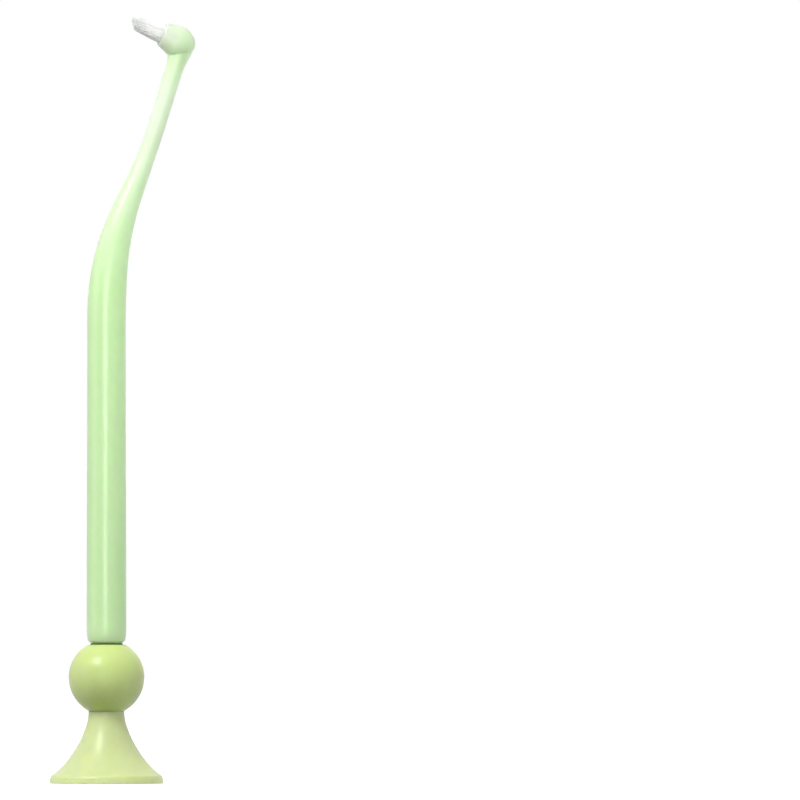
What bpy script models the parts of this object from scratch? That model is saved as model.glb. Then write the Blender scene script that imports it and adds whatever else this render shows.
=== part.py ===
"""Orthodontic toothbrush with one end tuft, standing in its ball and flared foot.

The brush is one translucent moulding: a round grip, a neck that leans and eases back, and a round head.
A round tuft is folded about a metal anchor in the blind hole of the head.
The grip ends in a spigot, which turns and lifts in a soft sleeve in the ball.
The ball sits in a dish on the skirt, tied by a screw from below that also clamps a steel weight.

Metres, +Z up. The origin is the centre of the foot, on the surface that it stands on.
The head faces -X, and the grip stands on the Z axis.
"""

import math

import bmesh
import bpy
from mathutils import Matrix, Vector

# Clearance between pieces, and the overrun of a cut past a face

FIT_GAP = 0.0003
CUT_OVERRUN = 0.001

# Foot: the flared skirt, its cavity and the pad that it stands on

SKIRT_HEIGHT = 0.0194
SKIRT_TOP_RADIUS = 0.0049
SKIRT_RIM_RADIUS = 0.01545
SKIRT_RIM_HEIGHT = 0.0022
SKIRT_RIM_LIFT = 0.00015
SKIRT_WALL = 0.0015
SKIRT_CAVITY_HEIGHT = 0.0095
RIM_WIDTH = 0.00145
PAD_THICKNESS = 0.001
PAD_LEDGE = 0.0015
PAD_BEVEL = 0.00015

# Ball on the skirt: the lip round the flange of its sleeve, and the web under its socket

BALL_RADIUS = 0.0103
BALL_MOUTH_LIP = 0.00035
BALL_MOUTH_ROUNDING = 0.00015
SOCKET_WEB = 0.00283

# Soft sleeve in the ball

SLEEVE_WALL = 0.0008
FLANGE_OVERHANG = 0.0003
FLANGE_THICKNESS = 0.0006
FLANGE_SINK = 0.00035
SLEEVE_LEAD_IN = 0.0002

# Tie screw, its washer, the threaded insert in the ball and the weight

SCREW_RADIUS = 0.0015
SCREW_HEAD_RADIUS = 0.0028
SCREW_HEAD_HEIGHT = 0.002
SCREW_TIP_CHAMFER = 0.0004
HEX_RADIUS = 0.0012
HEX_DEPTH = 0.0012
WASHER_RADIUS = 0.0035
WASHER_THICKNESS = 0.0006
WASHER_BEVEL = 0.0001
INSERT_WALL = 0.0008
INSERT_LENGTH = 0.006
INSERT_GROOVE_DEPTH = 0.0003
INSERT_GROOVES = 3

# Grip and neck, along a spine that starts at the lower end of the grip: the bend, then the taper and the
# return a delay after it, then a straight neck and the flare into the head

GRIP_RADIUS = 0.0054
GRIP_WAIST_RADIUS = 0.00525
GRIP_END_RADIUS = 0.0045
GRIP_END_ROUNDING = 0.0032
NECK_RADIUS = 0.00238
NECK_FLARE_RADIUS = 0.0033
SPINE_LENGTH = 0.1657
BEND_RUN = 0.0448
BEND_ANGLE = math.radians(24.4)
TAPER_DELAY = 0.0063
TAPER_RUN = 0.0486
RETURN_DELAY = 0.0343
RETURN_RUN = 0.0291
RETURN_ANGLE = math.radians(6.9)
NECK_STRAIGHT = 0.0108
FLARE_RUN = 0.0072
NECK_END_ROUNDING = 0.0009
SPIGOT_RADIUS = 0.003
SPIGOT_TIP_ROUNDING = 0.0006
SPIGOT_TIP_SPACE = 0.001

# Head and the blind hole for the tuft: a cone from the mouth of the hole to the widest place of the head,
# which drops below the axis of the tuft, and a round back

HEAD_RADIUS = 0.0045
HEAD_BACK = 0.0056
HEAD_FRONT = 0.0005
HEAD_CONE = 0.0041
HEAD_SKEW = 0.1
HEAD_RISE = 0.00095
HEAD_OFFSET = 0.0015
HEAD_MOUTH_WALL = 0.0005
HEAD_LIP_ROUNDING = 0.0002
TUFT_ANGLE = math.radians(22.5)
TUFT_HOLE_DEPTH = 0.0044

# Bristle tuft, cut to a slanted point above its axis, and its anchor in the fold of the root

PLUG_RADIUS = 0.0024
TUFT_LENGTH = 0.0095
TUFT_APEX_OFFSET = 0.001
TUFT_LOW_SLOPE = 0.42
TUFT_HIGH_SLOPE = 1.0
TUFT_EDGE_TRIM = 0.0016
TUFT_EDGE_POWER = 8
TUFT_SWELL = 0.0001
TUFT_TIP_DRAW_IN = 0.00025
TUFT_RINGS = 10
STRAND_WIDTH_SHARE = 0.72
STRAND_TIP_SHARE = 0.5
STRAND_KNEE_SHARE = 0.5
ANCHOR_BITE = 0.0005
ANCHOR_HEIGHT = 0.0009
ANCHOR_THICKNESS = 0.0003
FOLD_DEPTH = 0.0005
FOLD_COVER = 0.0004

# How finely round shapes are stepped

BODY_STEPS = 40
GRIP_STEPS = 24
SMALL_STEPS = 20
HEXAGON_SIDES = 6
FLARE_STEPS = 14
RIM_STEPS = 5
CAVITY_STEPS = 5
DISH_STEPS = 4
BALL_STEPS = 22
HEAD_STEPS = 12
GRIP_END_STEPS = 6
GRIP_STATIONS = 4
BEND_STATIONS = 22
NECK_STATIONS = 2
FLARE_STATIONS = 5
SPINE_WALK_STEPS = 400
SHARP_ANGLE = math.radians(40)

# The flare of the skirt from its top to its rim: handles of the curve as shares of its width and height

FLARE_TOP_SHARES = (-0.02, 0.25)
FLARE_FOOT_SHARES = (0.45, 0.8)
FLARE_END_SHARE = 0.95
RIM_HANDLE_SHARES = (0.6, 0.35)

# Sizes and heights worked out from the ones above

SLEEVE_BORE_RADIUS = SPIGOT_RADIUS + FIT_GAP
SLEEVE_RADIUS = SLEEVE_BORE_RADIUS + SLEEVE_WALL
SOCKET_RADIUS = SLEEVE_RADIUS + FIT_GAP
FLANGE_RADIUS = SLEEVE_RADIUS + FLANGE_OVERHANG
COUNTERBORE_RADIUS = FLANGE_RADIUS + FIT_GAP
BALL_MOUTH_RADIUS = COUNTERBORE_RADIUS + BALL_MOUTH_LIP + BALL_MOUTH_ROUNDING
SEAT_RADIUS = BALL_RADIUS + FIT_GAP
BALL_CENTRE = SKIRT_HEIGHT + math.sqrt(SEAT_RADIUS ** 2 - SKIRT_TOP_RADIUS ** 2)
BALL_TOP = BALL_CENTRE + math.sqrt(BALL_RADIUS ** 2 - BALL_MOUTH_RADIUS ** 2)
FLANGE_BOTTOM = BALL_TOP - FLANGE_SINK
FLANGE_TOP = FLANGE_BOTTOM + FLANGE_THICKNESS
GRIP_BOTTOM = FLANGE_TOP + FIT_GAP
SCREW_BORE_RADIUS = SCREW_RADIUS + FIT_GAP
INSERT_RADIUS = SCREW_BORE_RADIUS + INSERT_WALL
INSERT_BORE_RADIUS = INSERT_RADIUS + FIT_GAP
INSERT_BOTTOM = BALL_CENTRE - math.sqrt(BALL_RADIUS ** 2 - INSERT_BORE_RADIUS ** 2)
INSERT_TOP = INSERT_BOTTOM + INSERT_LENGTH
INSERT_BORE_TOP = INSERT_TOP + FIT_GAP
SOCKET_FLOOR = INSERT_BORE_TOP + SOCKET_WEB
SLEEVE_BOTTOM = SOCKET_FLOOR + FIT_GAP
SPIGOT_BOTTOM = SLEEVE_BOTTOM + SPIGOT_TIP_SPACE
SCREW_HEAD_BOTTOM = PAD_THICKNESS + FIT_GAP
SCREW_HEAD_TOP = SCREW_HEAD_BOTTOM + SCREW_HEAD_HEIGHT
WASHER_BOTTOM = SCREW_HEAD_TOP + FIT_GAP
WASHER_TOP = WASHER_BOTTOM + WASHER_THICKNESS
RECESS_RADIUS = SKIRT_RIM_RADIUS - RIM_WIDTH
PAD_RADIUS = RECESS_RADIUS - FIT_GAP
WEIGHT_BOTTOM = PAD_THICKNESS + FIT_GAP
WEIGHT_TOP = SKIRT_CAVITY_HEIGHT - FIT_GAP
TUFT_HOLE_RADIUS = PLUG_RADIUS + FIT_GAP
HEAD_MOUTH_RADIUS = TUFT_HOLE_RADIUS + HEAD_MOUTH_WALL
HEAD_MOUTH_REACH = HEAD_FRONT + HEAD_CONE
PLUG_BOTTOM = HEAD_MOUTH_REACH - TUFT_HOLE_DEPTH + FIT_GAP
ANCHOR_BOTTOM = PLUG_BOTTOM + FOLD_DEPTH + FIT_GAP
PLUG_TOP = ANCHOR_BOTTOM + ANCHOR_HEIGHT + FIT_GAP + FOLD_COVER
RETURN_START = SPINE_LENGTH - FLARE_RUN - NECK_STRAIGHT - RETURN_RUN
BEND_START = RETURN_START - RETURN_DELAY
TAPER_START = BEND_START + TAPER_DELAY


def smooth_step(share):
    """Rise from 0 to 1 with level ends, for a share of a run."""
    share = min(max(share, 0), 1)
    return share * share * (3 - 2 * share)


def arc_points(centre_x, centre_z, radius_x, radius_z, start, end, count):
    """Points on an ellipse from one angle to another, measured from +X towards +Z."""
    points = []
    for step in range(count + 1):
        angle = start + (end - start) * step / count
        points.append((centre_x + radius_x * math.cos(angle), centre_z + radius_z * math.sin(angle)))
    return points


def bezier_points(ends, handles, count):
    """Points on a cubic curve from ends[0] to ends[1], both included."""
    start, end = Vector(ends[0]), Vector(ends[1])
    near, far = Vector(handles[0]), Vector(handles[1])
    points = []
    for step in range(count + 1):
        share = step / count
        rest = 1 - share
        outer = start * rest ** 3 + end * share ** 3
        inner = (near * rest + far * share) * 3 * rest * share
        points.append(tuple(outer + inner))
    return points


def srgb(red, green, blue):
    """Linear colour of a display colour given in 0 to 255."""
    linear = []
    for value in (red / 255, green / 255, blue / 255):
        linear.append(value / 12.92 if value <= 0.04045 else ((value + 0.055) / 1.055) ** 2.4)
    return linear + [1]


def material(name, colour, roughness, metallic=0, transmission=0):
    """A Principled material of one colour."""
    made = bpy.data.materials.new(name)
    made.use_nodes = True
    shader = made.node_tree.nodes["Principled BSDF"]
    shader.inputs["Base Color"].default_value = colour
    shader.inputs["Roughness"].default_value = roughness
    shader.inputs["Metallic"].default_value = metallic
    shader.inputs["Transmission Weight"].default_value = transmission
    made.diffuse_color = colour
    return made


def clear_scene():
    """Remove every object that the new scene holds."""
    for stale in list(bpy.data.objects):
        bpy.data.objects.remove(stale, do_unlink=True)


def new_collection(name):
    """A collection linked to the scene."""
    made = bpy.data.collections.new(name)
    bpy.context.scene.collection.children.link(made)
    return made


def new_object(name, data, collection, finish=None):
    """An object with its data, in a collection, with a material where one is given."""
    made = bpy.data.objects.new(name, data)
    collection.objects.link(made)
    if finish:
        made.data.materials.append(finish)
    return made


def turned(name, profile, collection, steps, finish=None, closed=False):
    """A solid turned about Z from a profile of (radius, height) points that runs down its outer side."""
    mesh = bpy.data.meshes.new(name)
    edges = [(index, index + 1) for index in range(len(profile) - 1)]
    if closed:
        edges.append((len(profile) - 1, 0))
    mesh.from_pydata([(radius, 0, height) for radius, height in profile], edges, [])
    made = new_object(name, mesh, collection, finish)
    screw = made.modifiers.new("turn", "SCREW")
    screw.steps = steps
    screw.render_steps = steps
    screw.use_merge_vertices = True
    screw.merge_threshold = FIT_GAP / 100
    return made


def from_bmesh(name, form, collection, finish=None):
    """An object made of a finished bmesh."""
    mesh = bpy.data.meshes.new(name)
    form.to_mesh(mesh)
    form.free()
    return new_object(name, mesh, collection, finish)


def box(name, size, collection):
    """A box of the given sizes about its own centre."""
    form = bmesh.new()
    bmesh.ops.create_cube(form, size=1, matrix=Matrix.Diagonal((*size, 1)))
    return from_bmesh(name, form, collection)


def cylinder(name, radius, bottom, top, steps, collection):
    """A cylinder on Z between two heights."""
    form = bmesh.new()
    place = Matrix.Translation((0, 0, (bottom + top) / 2))
    bmesh.ops.create_cone(
        form, cap_ends=True, segments=steps, radius1=radius, radius2=radius, depth=top - bottom, matrix=place
    )
    return from_bmesh(name, form, collection)


def combine(base, other, operation):
    """Join another solid to the base, or cut it away, by a Boolean."""
    other.hide_render = True
    other.display_type = "WIRE"
    change = base.modifiers.new(other.name, "BOOLEAN")
    change.operation = operation
    change.solver = "EXACT"
    change.object = other


def bevelled(piece, width):
    """Chamfer the sharp edges of a piece."""
    bevel = piece.modifiers.new("edge", "BEVEL")
    bevel.width = width
    bevel.segments = 1
    bevel.limit_method = "ANGLE"
    bevel.angle_limit = SHARP_ANGLE


def evaluated_mesh(piece):
    """The mesh of an object after its modifiers, with loose seams welded."""
    graph = bpy.context.evaluated_depsgraph_get()
    graph.update()
    mesh = bpy.data.meshes.new_from_object(piece.evaluated_get(graph))
    form = bmesh.new()
    form.from_mesh(mesh)
    bmesh.ops.remove_doubles(form, verts=form.verts, dist=FIT_GAP / 1000)
    form.to_mesh(mesh)
    form.free()
    return mesh


def finished(piece):
    """Keep the modelled shape as the piece's mesh, shaded smooth between its sharp edges."""
    mesh = evaluated_mesh(piece)
    piece.modifiers.clear()
    piece.data = mesh
    mesh.shade_smooth()
    mesh.set_sharp_from_angle(angle=SHARP_ANGLE)
    return piece


def flare_points(count):
    """The outer curve of the skirt, from its top edge down to where the rim rounds off."""
    width = SKIRT_RIM_RADIUS - SKIRT_TOP_RADIUS
    height = SKIRT_HEIGHT - SKIRT_RIM_HEIGHT
    top = (SKIRT_TOP_RADIUS, SKIRT_HEIGHT)
    end = (SKIRT_TOP_RADIUS + width * FLARE_END_SHARE, SKIRT_RIM_HEIGHT)
    near = (SKIRT_TOP_RADIUS + width * FLARE_TOP_SHARES[0], SKIRT_HEIGHT - height * FLARE_TOP_SHARES[1])
    far = (SKIRT_TOP_RADIUS + width * FLARE_FOOT_SHARES[0], SKIRT_HEIGHT - height * FLARE_FOOT_SHARES[1])
    return bezier_points((top, end), (near, far), count)


def flare_radius(height):
    """Outer radius of the skirt at a height, read along the flare."""
    points = flare_points(BODY_STEPS)
    for (upper_radius, upper), (lower_radius, lower) in zip(points, points[1:]):
        if lower <= height <= upper:
            return lower_radius + (upper_radius - lower_radius) * (height - lower) / (upper - lower)
    return SKIRT_RIM_RADIUS if height < SKIRT_RIM_HEIGHT else SKIRT_TOP_RADIUS


def cavity_radius(height):
    """Inner radius of the skirt at a height, inside the flare's wall and the ledge of the pad's recess."""
    inside_wall = min(flare_radius(height) - SKIRT_WALL, flare_radius(height + SKIRT_WALL))
    return min(inside_wall, RECESS_RADIUS - PAD_LEDGE)


def cavity_heights(bottom, top):
    """Even heights between the floor and the ceiling of the cavity."""
    return [bottom + (top - bottom) * step / CAVITY_STEPS for step in range(CAVITY_STEPS + 1)]


def seat_height(radius):
    """Height of the dish under the ball at a radius."""
    return BALL_CENTRE - math.sqrt(SEAT_RADIUS ** 2 - radius ** 2)


def build_skirt(collection, finish):
    """The flared foot: a shell with a solid upper part, a dish for the ball and a bore for the tie screw."""
    flare = flare_points(FLARE_STEPS)
    end_radius, end_height = flare[-1]
    bulge = SKIRT_RIM_RADIUS - end_radius
    drop = end_height - SKIRT_RIM_LIFT
    rim = bezier_points(
        ((end_radius, end_height), (end_radius + bulge * RIM_HANDLE_SHARES[0], SKIRT_RIM_LIFT)),
        (
            (SKIRT_RIM_RADIUS, end_height - drop * RIM_HANDLE_SHARES[1] / 2),
            (SKIRT_RIM_RADIUS + bulge * RIM_HANDLE_SHARES[1], SKIRT_RIM_LIFT + drop * RIM_HANDLE_SHARES[1]),
        ),
        RIM_STEPS,
    )
    recess_top = PAD_THICKNESS + FIT_GAP
    recess = [(RECESS_RADIUS, SKIRT_RIM_LIFT), (RECESS_RADIUS, recess_top)]
    heights = cavity_heights(recess_top, SKIRT_CAVITY_HEIGHT)
    cavity = [(cavity_radius(height), height) for height in heights]
    bore = [(SCREW_BORE_RADIUS, SKIRT_CAVITY_HEIGHT)]
    stride = (SKIRT_TOP_RADIUS - SCREW_BORE_RADIUS) / DISH_STEPS
    radii = [SCREW_BORE_RADIUS + stride * step for step in range(DISH_STEPS)]
    dish = [(radius, seat_height(radius)) for radius in radii]
    profile = flare + rim[1:] + recess + cavity + bore + dish
    return finished(turned("stand_skirt", profile, collection, BODY_STEPS, finish, closed=True))


def build_ball(collection, finish):
    """The ball: a socket for the sleeve from above, and a bore for the threaded insert from below."""
    mouth = BALL_MOUTH_RADIUS - BALL_MOUTH_ROUNDING
    counterbore_floor = FLANGE_BOTTOM - FIT_GAP
    start = math.asin((BALL_TOP - BALL_MOUTH_ROUNDING - BALL_CENTRE) / BALL_RADIUS)
    end = -math.acos(INSERT_BORE_RADIUS / BALL_RADIUS)
    socket = [
        (0, SOCKET_FLOOR),
        (SOCKET_RADIUS, SOCKET_FLOOR),
        (SOCKET_RADIUS, counterbore_floor),
        (COUNTERBORE_RADIUS, counterbore_floor),
        (COUNTERBORE_RADIUS, BALL_TOP),
        (mouth, BALL_TOP),
    ]
    sphere = arc_points(0, BALL_CENTRE, BALL_RADIUS, BALL_RADIUS, start, end, BALL_STEPS)
    bore = [(INSERT_BORE_RADIUS, INSERT_BORE_TOP), (0, INSERT_BORE_TOP)]
    return finished(turned("stand_ball", socket + sphere + bore, collection, BODY_STEPS, finish))


def build_sleeve(collection, finish):
    """The soft sleeve in the socket, with a flange that keeps the grip off the ball."""
    profile = [
        (SLEEVE_BORE_RADIUS + SLEEVE_LEAD_IN, FLANGE_TOP),
        (FLANGE_RADIUS - SLEEVE_LEAD_IN, FLANGE_TOP),
        (FLANGE_RADIUS, FLANGE_TOP - SLEEVE_LEAD_IN),
        (FLANGE_RADIUS, FLANGE_BOTTOM),
        (SLEEVE_RADIUS, FLANGE_BOTTOM),
        (SLEEVE_RADIUS, SLEEVE_BOTTOM + SLEEVE_LEAD_IN),
        (SLEEVE_RADIUS - SLEEVE_LEAD_IN, SLEEVE_BOTTOM),
        (SLEEVE_BORE_RADIUS, SLEEVE_BOTTOM),
        (SLEEVE_BORE_RADIUS, FLANGE_TOP - SLEEVE_LEAD_IN),
    ]
    return finished(turned("socket_sleeve", profile, collection, BODY_STEPS, finish, closed=True))


def build_weight(collection, finish):
    """The steel weight that fills the cavity, bored for the screw and counterbored for its head."""
    heights = cavity_heights(WEIGHT_BOTTOM, WEIGHT_TOP)
    outside = [(cavity_radius(height) - FIT_GAP, height) for height in reversed(heights)]
    head_radius = max(SCREW_HEAD_RADIUS, WASHER_RADIUS) + FIT_GAP
    head_top = WASHER_TOP + FIT_GAP
    inside = [
        (head_radius, WEIGHT_BOTTOM),
        (head_radius, head_top),
        (SCREW_BORE_RADIUS, head_top),
        (SCREW_BORE_RADIUS, WEIGHT_TOP),
    ]
    return finished(turned("ballast_weight", outside + inside, collection, BODY_STEPS, finish, closed=True))


def build_screw(collection, cutters, finish):
    """The tie screw, head down, with a hexagon socket in its head."""
    tip = INSERT_TOP
    profile = [
        (0, tip),
        (SCREW_RADIUS - SCREW_TIP_CHAMFER, tip),
        (SCREW_RADIUS, tip - SCREW_TIP_CHAMFER),
        (SCREW_RADIUS, SCREW_HEAD_TOP),
        (SCREW_HEAD_RADIUS, SCREW_HEAD_TOP),
        (SCREW_HEAD_RADIUS, SCREW_HEAD_BOTTOM + SCREW_TIP_CHAMFER),
        (SCREW_HEAD_RADIUS - SCREW_TIP_CHAMFER, SCREW_HEAD_BOTTOM),
        (0, SCREW_HEAD_BOTTOM),
    ]
    screw = turned("tie_screw", profile, collection, SMALL_STEPS, finish)
    top = SCREW_HEAD_BOTTOM + HEX_DEPTH
    bottom = SCREW_HEAD_BOTTOM - CUT_OVERRUN
    hexagon = cylinder("hexagon_cut", HEX_RADIUS, bottom, top, HEXAGON_SIDES, cutters)
    combine(screw, hexagon, "DIFFERENCE")
    return finished(screw)


def build_washer(collection, finish):
    """The washer between the screw's head and the weight."""
    profile = [
        (WASHER_RADIUS, WASHER_TOP),
        (WASHER_RADIUS, WASHER_BOTTOM),
        (SCREW_BORE_RADIUS, WASHER_BOTTOM),
        (SCREW_BORE_RADIUS, WASHER_TOP),
    ]
    washer = turned("screw_washer", profile, collection, SMALL_STEPS, finish, closed=True)
    bevelled(washer, WASHER_BEVEL)
    return finished(washer)


def build_insert(collection, finish):
    """The threaded insert, with grooves round its outside that hold it in the ball."""
    inside = [(SCREW_BORE_RADIUS, INSERT_BOTTOM), (SCREW_BORE_RADIUS, INSERT_TOP)]
    band = (INSERT_TOP - INSERT_BOTTOM) / (2 * INSERT_GROOVES + 1)
    outside = [(INSERT_RADIUS, INSERT_TOP)]
    for groove in range(INSERT_GROOVES):
        upper = INSERT_TOP - band * (2 * groove + 1)
        lower = upper - band
        inner = INSERT_RADIUS - INSERT_GROOVE_DEPTH
        outside += [(INSERT_RADIUS, upper), (inner, upper), (inner, lower), (INSERT_RADIUS, lower)]
    outside.append((INSERT_RADIUS, INSERT_BOTTOM))
    profile = outside + inside
    return finished(turned("threaded_insert", profile, collection, SMALL_STEPS, finish, closed=True))


def build_pad(collection, finish):
    """The rubber pad that the foot stands on."""
    pad = cylinder("foot_pad", PAD_RADIUS, 0, PAD_THICKNESS, BODY_STEPS, collection)
    pad.data.materials.append(finish)
    bevelled(pad, PAD_BEVEL)
    return finished(pad)


def lean_at(distance):
    """Lean of the spine from upright, towards +X, at a distance along it."""
    bend = BEND_ANGLE * smooth_step((distance - BEND_START) / BEND_RUN)
    ease_back = RETURN_ANGLE * smooth_step((distance - RETURN_START) / RETURN_RUN)
    return bend - ease_back


def spine_point(distance):
    """Point of the spine at a distance from the lower end of the grip, walked in short even steps."""
    stride = distance / SPINE_WALK_STEPS
    point = Vector((0, 0, GRIP_BOTTOM))
    for step in range(SPINE_WALK_STEPS):
        lean = lean_at(stride * (step + 0.5))
        point += Vector((math.sin(lean), 0, math.cos(lean))) * stride
    return point


def girth_at(distance):
    """Radius of the moulding at a distance along the spine."""
    taper = smooth_step((distance - TAPER_START) / TAPER_RUN)
    waist = smooth_step((distance - GRIP_END_ROUNDING) / (BEND_START - GRIP_END_ROUNDING))
    flare = smooth_step((distance - SPINE_LENGTH + FLARE_RUN) / FLARE_RUN)
    grip = GRIP_RADIUS + (GRIP_WAIST_RADIUS - GRIP_RADIUS) * waist
    radius = grip + (NECK_RADIUS - grip) * taper
    return radius + (NECK_FLARE_RADIUS - NECK_RADIUS) * flare


def spine_stations():
    """Pairs of distance along the spine and radius there: close at the ends and in the bend."""
    stations = []
    for step in range(GRIP_END_STEPS):
        angle = math.pi / 2 * step / GRIP_END_STEPS
        distance = GRIP_END_ROUNDING * (1 - math.cos(angle))
        radius = GRIP_END_RADIUS + (GRIP_RADIUS - GRIP_END_RADIUS) * math.sin(angle)
        stations.append((distance, radius))
    runs = [
        (GRIP_END_ROUNDING, BEND_START, GRIP_STATIONS),
        (BEND_START, RETURN_START + RETURN_RUN, BEND_STATIONS),
        (RETURN_START + RETURN_RUN, SPINE_LENGTH - FLARE_RUN, NECK_STATIONS),
        (SPINE_LENGTH - FLARE_RUN, SPINE_LENGTH, FLARE_STATIONS),
    ]
    for start, end, count in runs:
        for step in range(count):
            distance = start + (end - start) * step / count
            stations.append((distance, girth_at(distance)))
    stations.append((SPINE_LENGTH, NECK_FLARE_RADIUS))
    stations.append((SPINE_LENGTH + NECK_END_ROUNDING, NECK_RADIUS))
    return stations


def head_place():
    """Matrix of the head: its centre beside the end of the spine, with local +Z along the tuft."""
    lean = lean_at(SPINE_LENGTH)
    along = Vector((math.sin(lean), 0, math.cos(lean)))
    across = Vector((-math.cos(lean), 0, math.sin(lean)))
    centre = spine_point(SPINE_LENGTH) + along * HEAD_RISE + across * HEAD_OFFSET
    turn = Matrix.Rotation(TUFT_ANGLE - math.pi / 2, 4, "Y")
    return Matrix.Translation(centre) @ turn


def build_stem(collection):
    """The grip and neck as a bevelled curve whose radius follows the girth."""
    curve = bpy.data.curves.new("stem", "CURVE")
    curve.dimensions = "3D"
    curve.bevel_depth = 1
    curve.bevel_resolution = GRIP_STEPS // 2 - 2
    curve.use_fill_caps = True
    stations = spine_stations()
    spline = curve.splines.new("POLY")
    spline.points.add(len(stations) - 1)
    for point, (distance, radius) in zip(spline.points, stations):
        point.co = (*spine_point(distance), 1)
        point.radius = radius
    guide = new_object("stem_guide", curve, collection)
    stem = new_object("stem", evaluated_mesh(guide), collection)
    bpy.data.objects.remove(guide, do_unlink=True)
    return stem


def build_head(collection):
    """The head, turned about the axis of the tuft and then skewed, so that its widest place drops."""
    profile = [
        (0, HEAD_MOUTH_REACH),
        (HEAD_MOUTH_RADIUS - HEAD_LIP_ROUNDING, HEAD_MOUTH_REACH),
        (HEAD_MOUTH_RADIUS, HEAD_MOUTH_REACH - HEAD_LIP_ROUNDING),
    ]
    profile += arc_points(0, HEAD_FRONT, HEAD_RADIUS, HEAD_BACK, 0, -math.pi / 2, HEAD_STEPS)[:-1]
    profile.append((0, HEAD_FRONT - HEAD_BACK))
    head = finished(turned("head", profile, collection, GRIP_STEPS))
    for corner in head.data.vertices:
        corner.co.x -= HEAD_SKEW * (HEAD_MOUTH_REACH - max(corner.co.z, HEAD_FRONT))
    head.matrix_world = head_place()
    return head


def build_handle(collection, cutters, finish):
    """The brush's moulding: spigot, grip, neck and head, with the tuft's hole and the anchor's slot."""
    handle = build_stem(cutters)
    handle.name = "handle"
    cutters.objects.unlink(handle)
    collection.objects.link(handle)
    handle.data.materials.append(finish)
    spigot_profile = [
        (0, GRIP_BOTTOM + GRIP_END_ROUNDING),
        (SPIGOT_RADIUS, GRIP_BOTTOM + GRIP_END_ROUNDING),
        (SPIGOT_RADIUS, SPIGOT_BOTTOM + SPIGOT_TIP_ROUNDING),
        (SPIGOT_RADIUS - SPIGOT_TIP_ROUNDING, SPIGOT_BOTTOM),
        (0, SPIGOT_BOTTOM),
    ]
    combine(handle, turned("spigot", spigot_profile, cutters, GRIP_STEPS), "UNION")
    combine(handle, build_head(cutters), "UNION")
    floor = HEAD_MOUTH_REACH - TUFT_HOLE_DEPTH
    hole = cylinder(
        "tuft_hole_cut", TUFT_HOLE_RADIUS, floor, HEAD_MOUTH_REACH + CUT_OVERRUN, GRIP_STEPS, cutters
    )
    hole.matrix_world = head_place()
    combine(handle, hole, "DIFFERENCE")
    slot_size = (
        ANCHOR_THICKNESS + 2 * FIT_GAP,
        2 * (TUFT_HOLE_RADIUS + ANCHOR_BITE + FIT_GAP),
        ANCHOR_HEIGHT + 2 * FIT_GAP,
    )
    slot = box("anchor_slot_cut", slot_size, cutters)
    slot.matrix_world = head_place() @ Matrix.Translation((0, 0, ANCHOR_BOTTOM + ANCHOR_HEIGHT / 2))
    combine(handle, slot, "DIFFERENCE")
    return finished(handle)


def build_anchor(collection, finish):
    """The metal plate that the tuft is folded about, its ends biting into the wall of the hole."""
    size = (ANCHOR_THICKNESS, 2 * (TUFT_HOLE_RADIUS + ANCHOR_BITE), ANCHOR_HEIGHT)
    anchor = box("tuft_anchor", size, collection)
    anchor.data.materials.append(finish)
    anchor.matrix_world = head_place() @ Matrix.Translation((0, 0, ANCHOR_BOTTOM + ANCHOR_HEIGHT / 2))
    return finished(anchor)


def ring_of(corner):
    """Ring number, from the centre, of a grid point in a hexagon with a corner at +Y and of radius 1."""
    turn = math.atan2(corner.x, corner.y) % (math.pi / 3) - math.pi / 6
    return round(math.hypot(corner.x, corner.y) * math.cos(turn) / math.cos(math.pi / 6) * TUFT_RINGS)


def strand_layout():
    """A round patch of small triangles, and those of them that each carry one strand."""
    form = bmesh.new()
    bmesh.ops.create_circle(form, cap_ends=True, cap_tris=True, segments=6, radius=1)
    bmesh.ops.subdivide_edges(form, edges=form.edges, cuts=TUFT_RINGS - 1, use_grid_fill=True)
    bmesh.ops.triangulate(form, faces=form.faces)
    rings = {corner: ring_of(corner.co) for corner in form.verts}
    bases = []
    for face in form.faces:
        levels = sorted(rings[corner] for corner in face.verts)
        if levels[1] == levels[2] > levels[0]:
            bases.append(face)
    for corner, ring in rings.items():
        if ring:
            corner.co = corner.co.normalized() * ring / TUFT_RINGS
    return form, bases


def strand_length(spot):
    """Length of a strand by its place in the root: the cut falls from the apex and at the edge."""
    beyond_apex = spot.x - TUFT_APEX_OFFSET
    slant = max(beyond_apex * TUFT_HIGH_SLOPE, -beyond_apex * TUFT_LOW_SLOPE)
    rim_share = math.hypot(spot.x, spot.y) / PLUG_RADIUS
    edge = TUFT_EDGE_TRIM * rim_share ** TUFT_EDGE_POWER
    return HEAD_MOUTH_REACH + TUFT_LENGTH - PLUG_TOP - slant - edge


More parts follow.
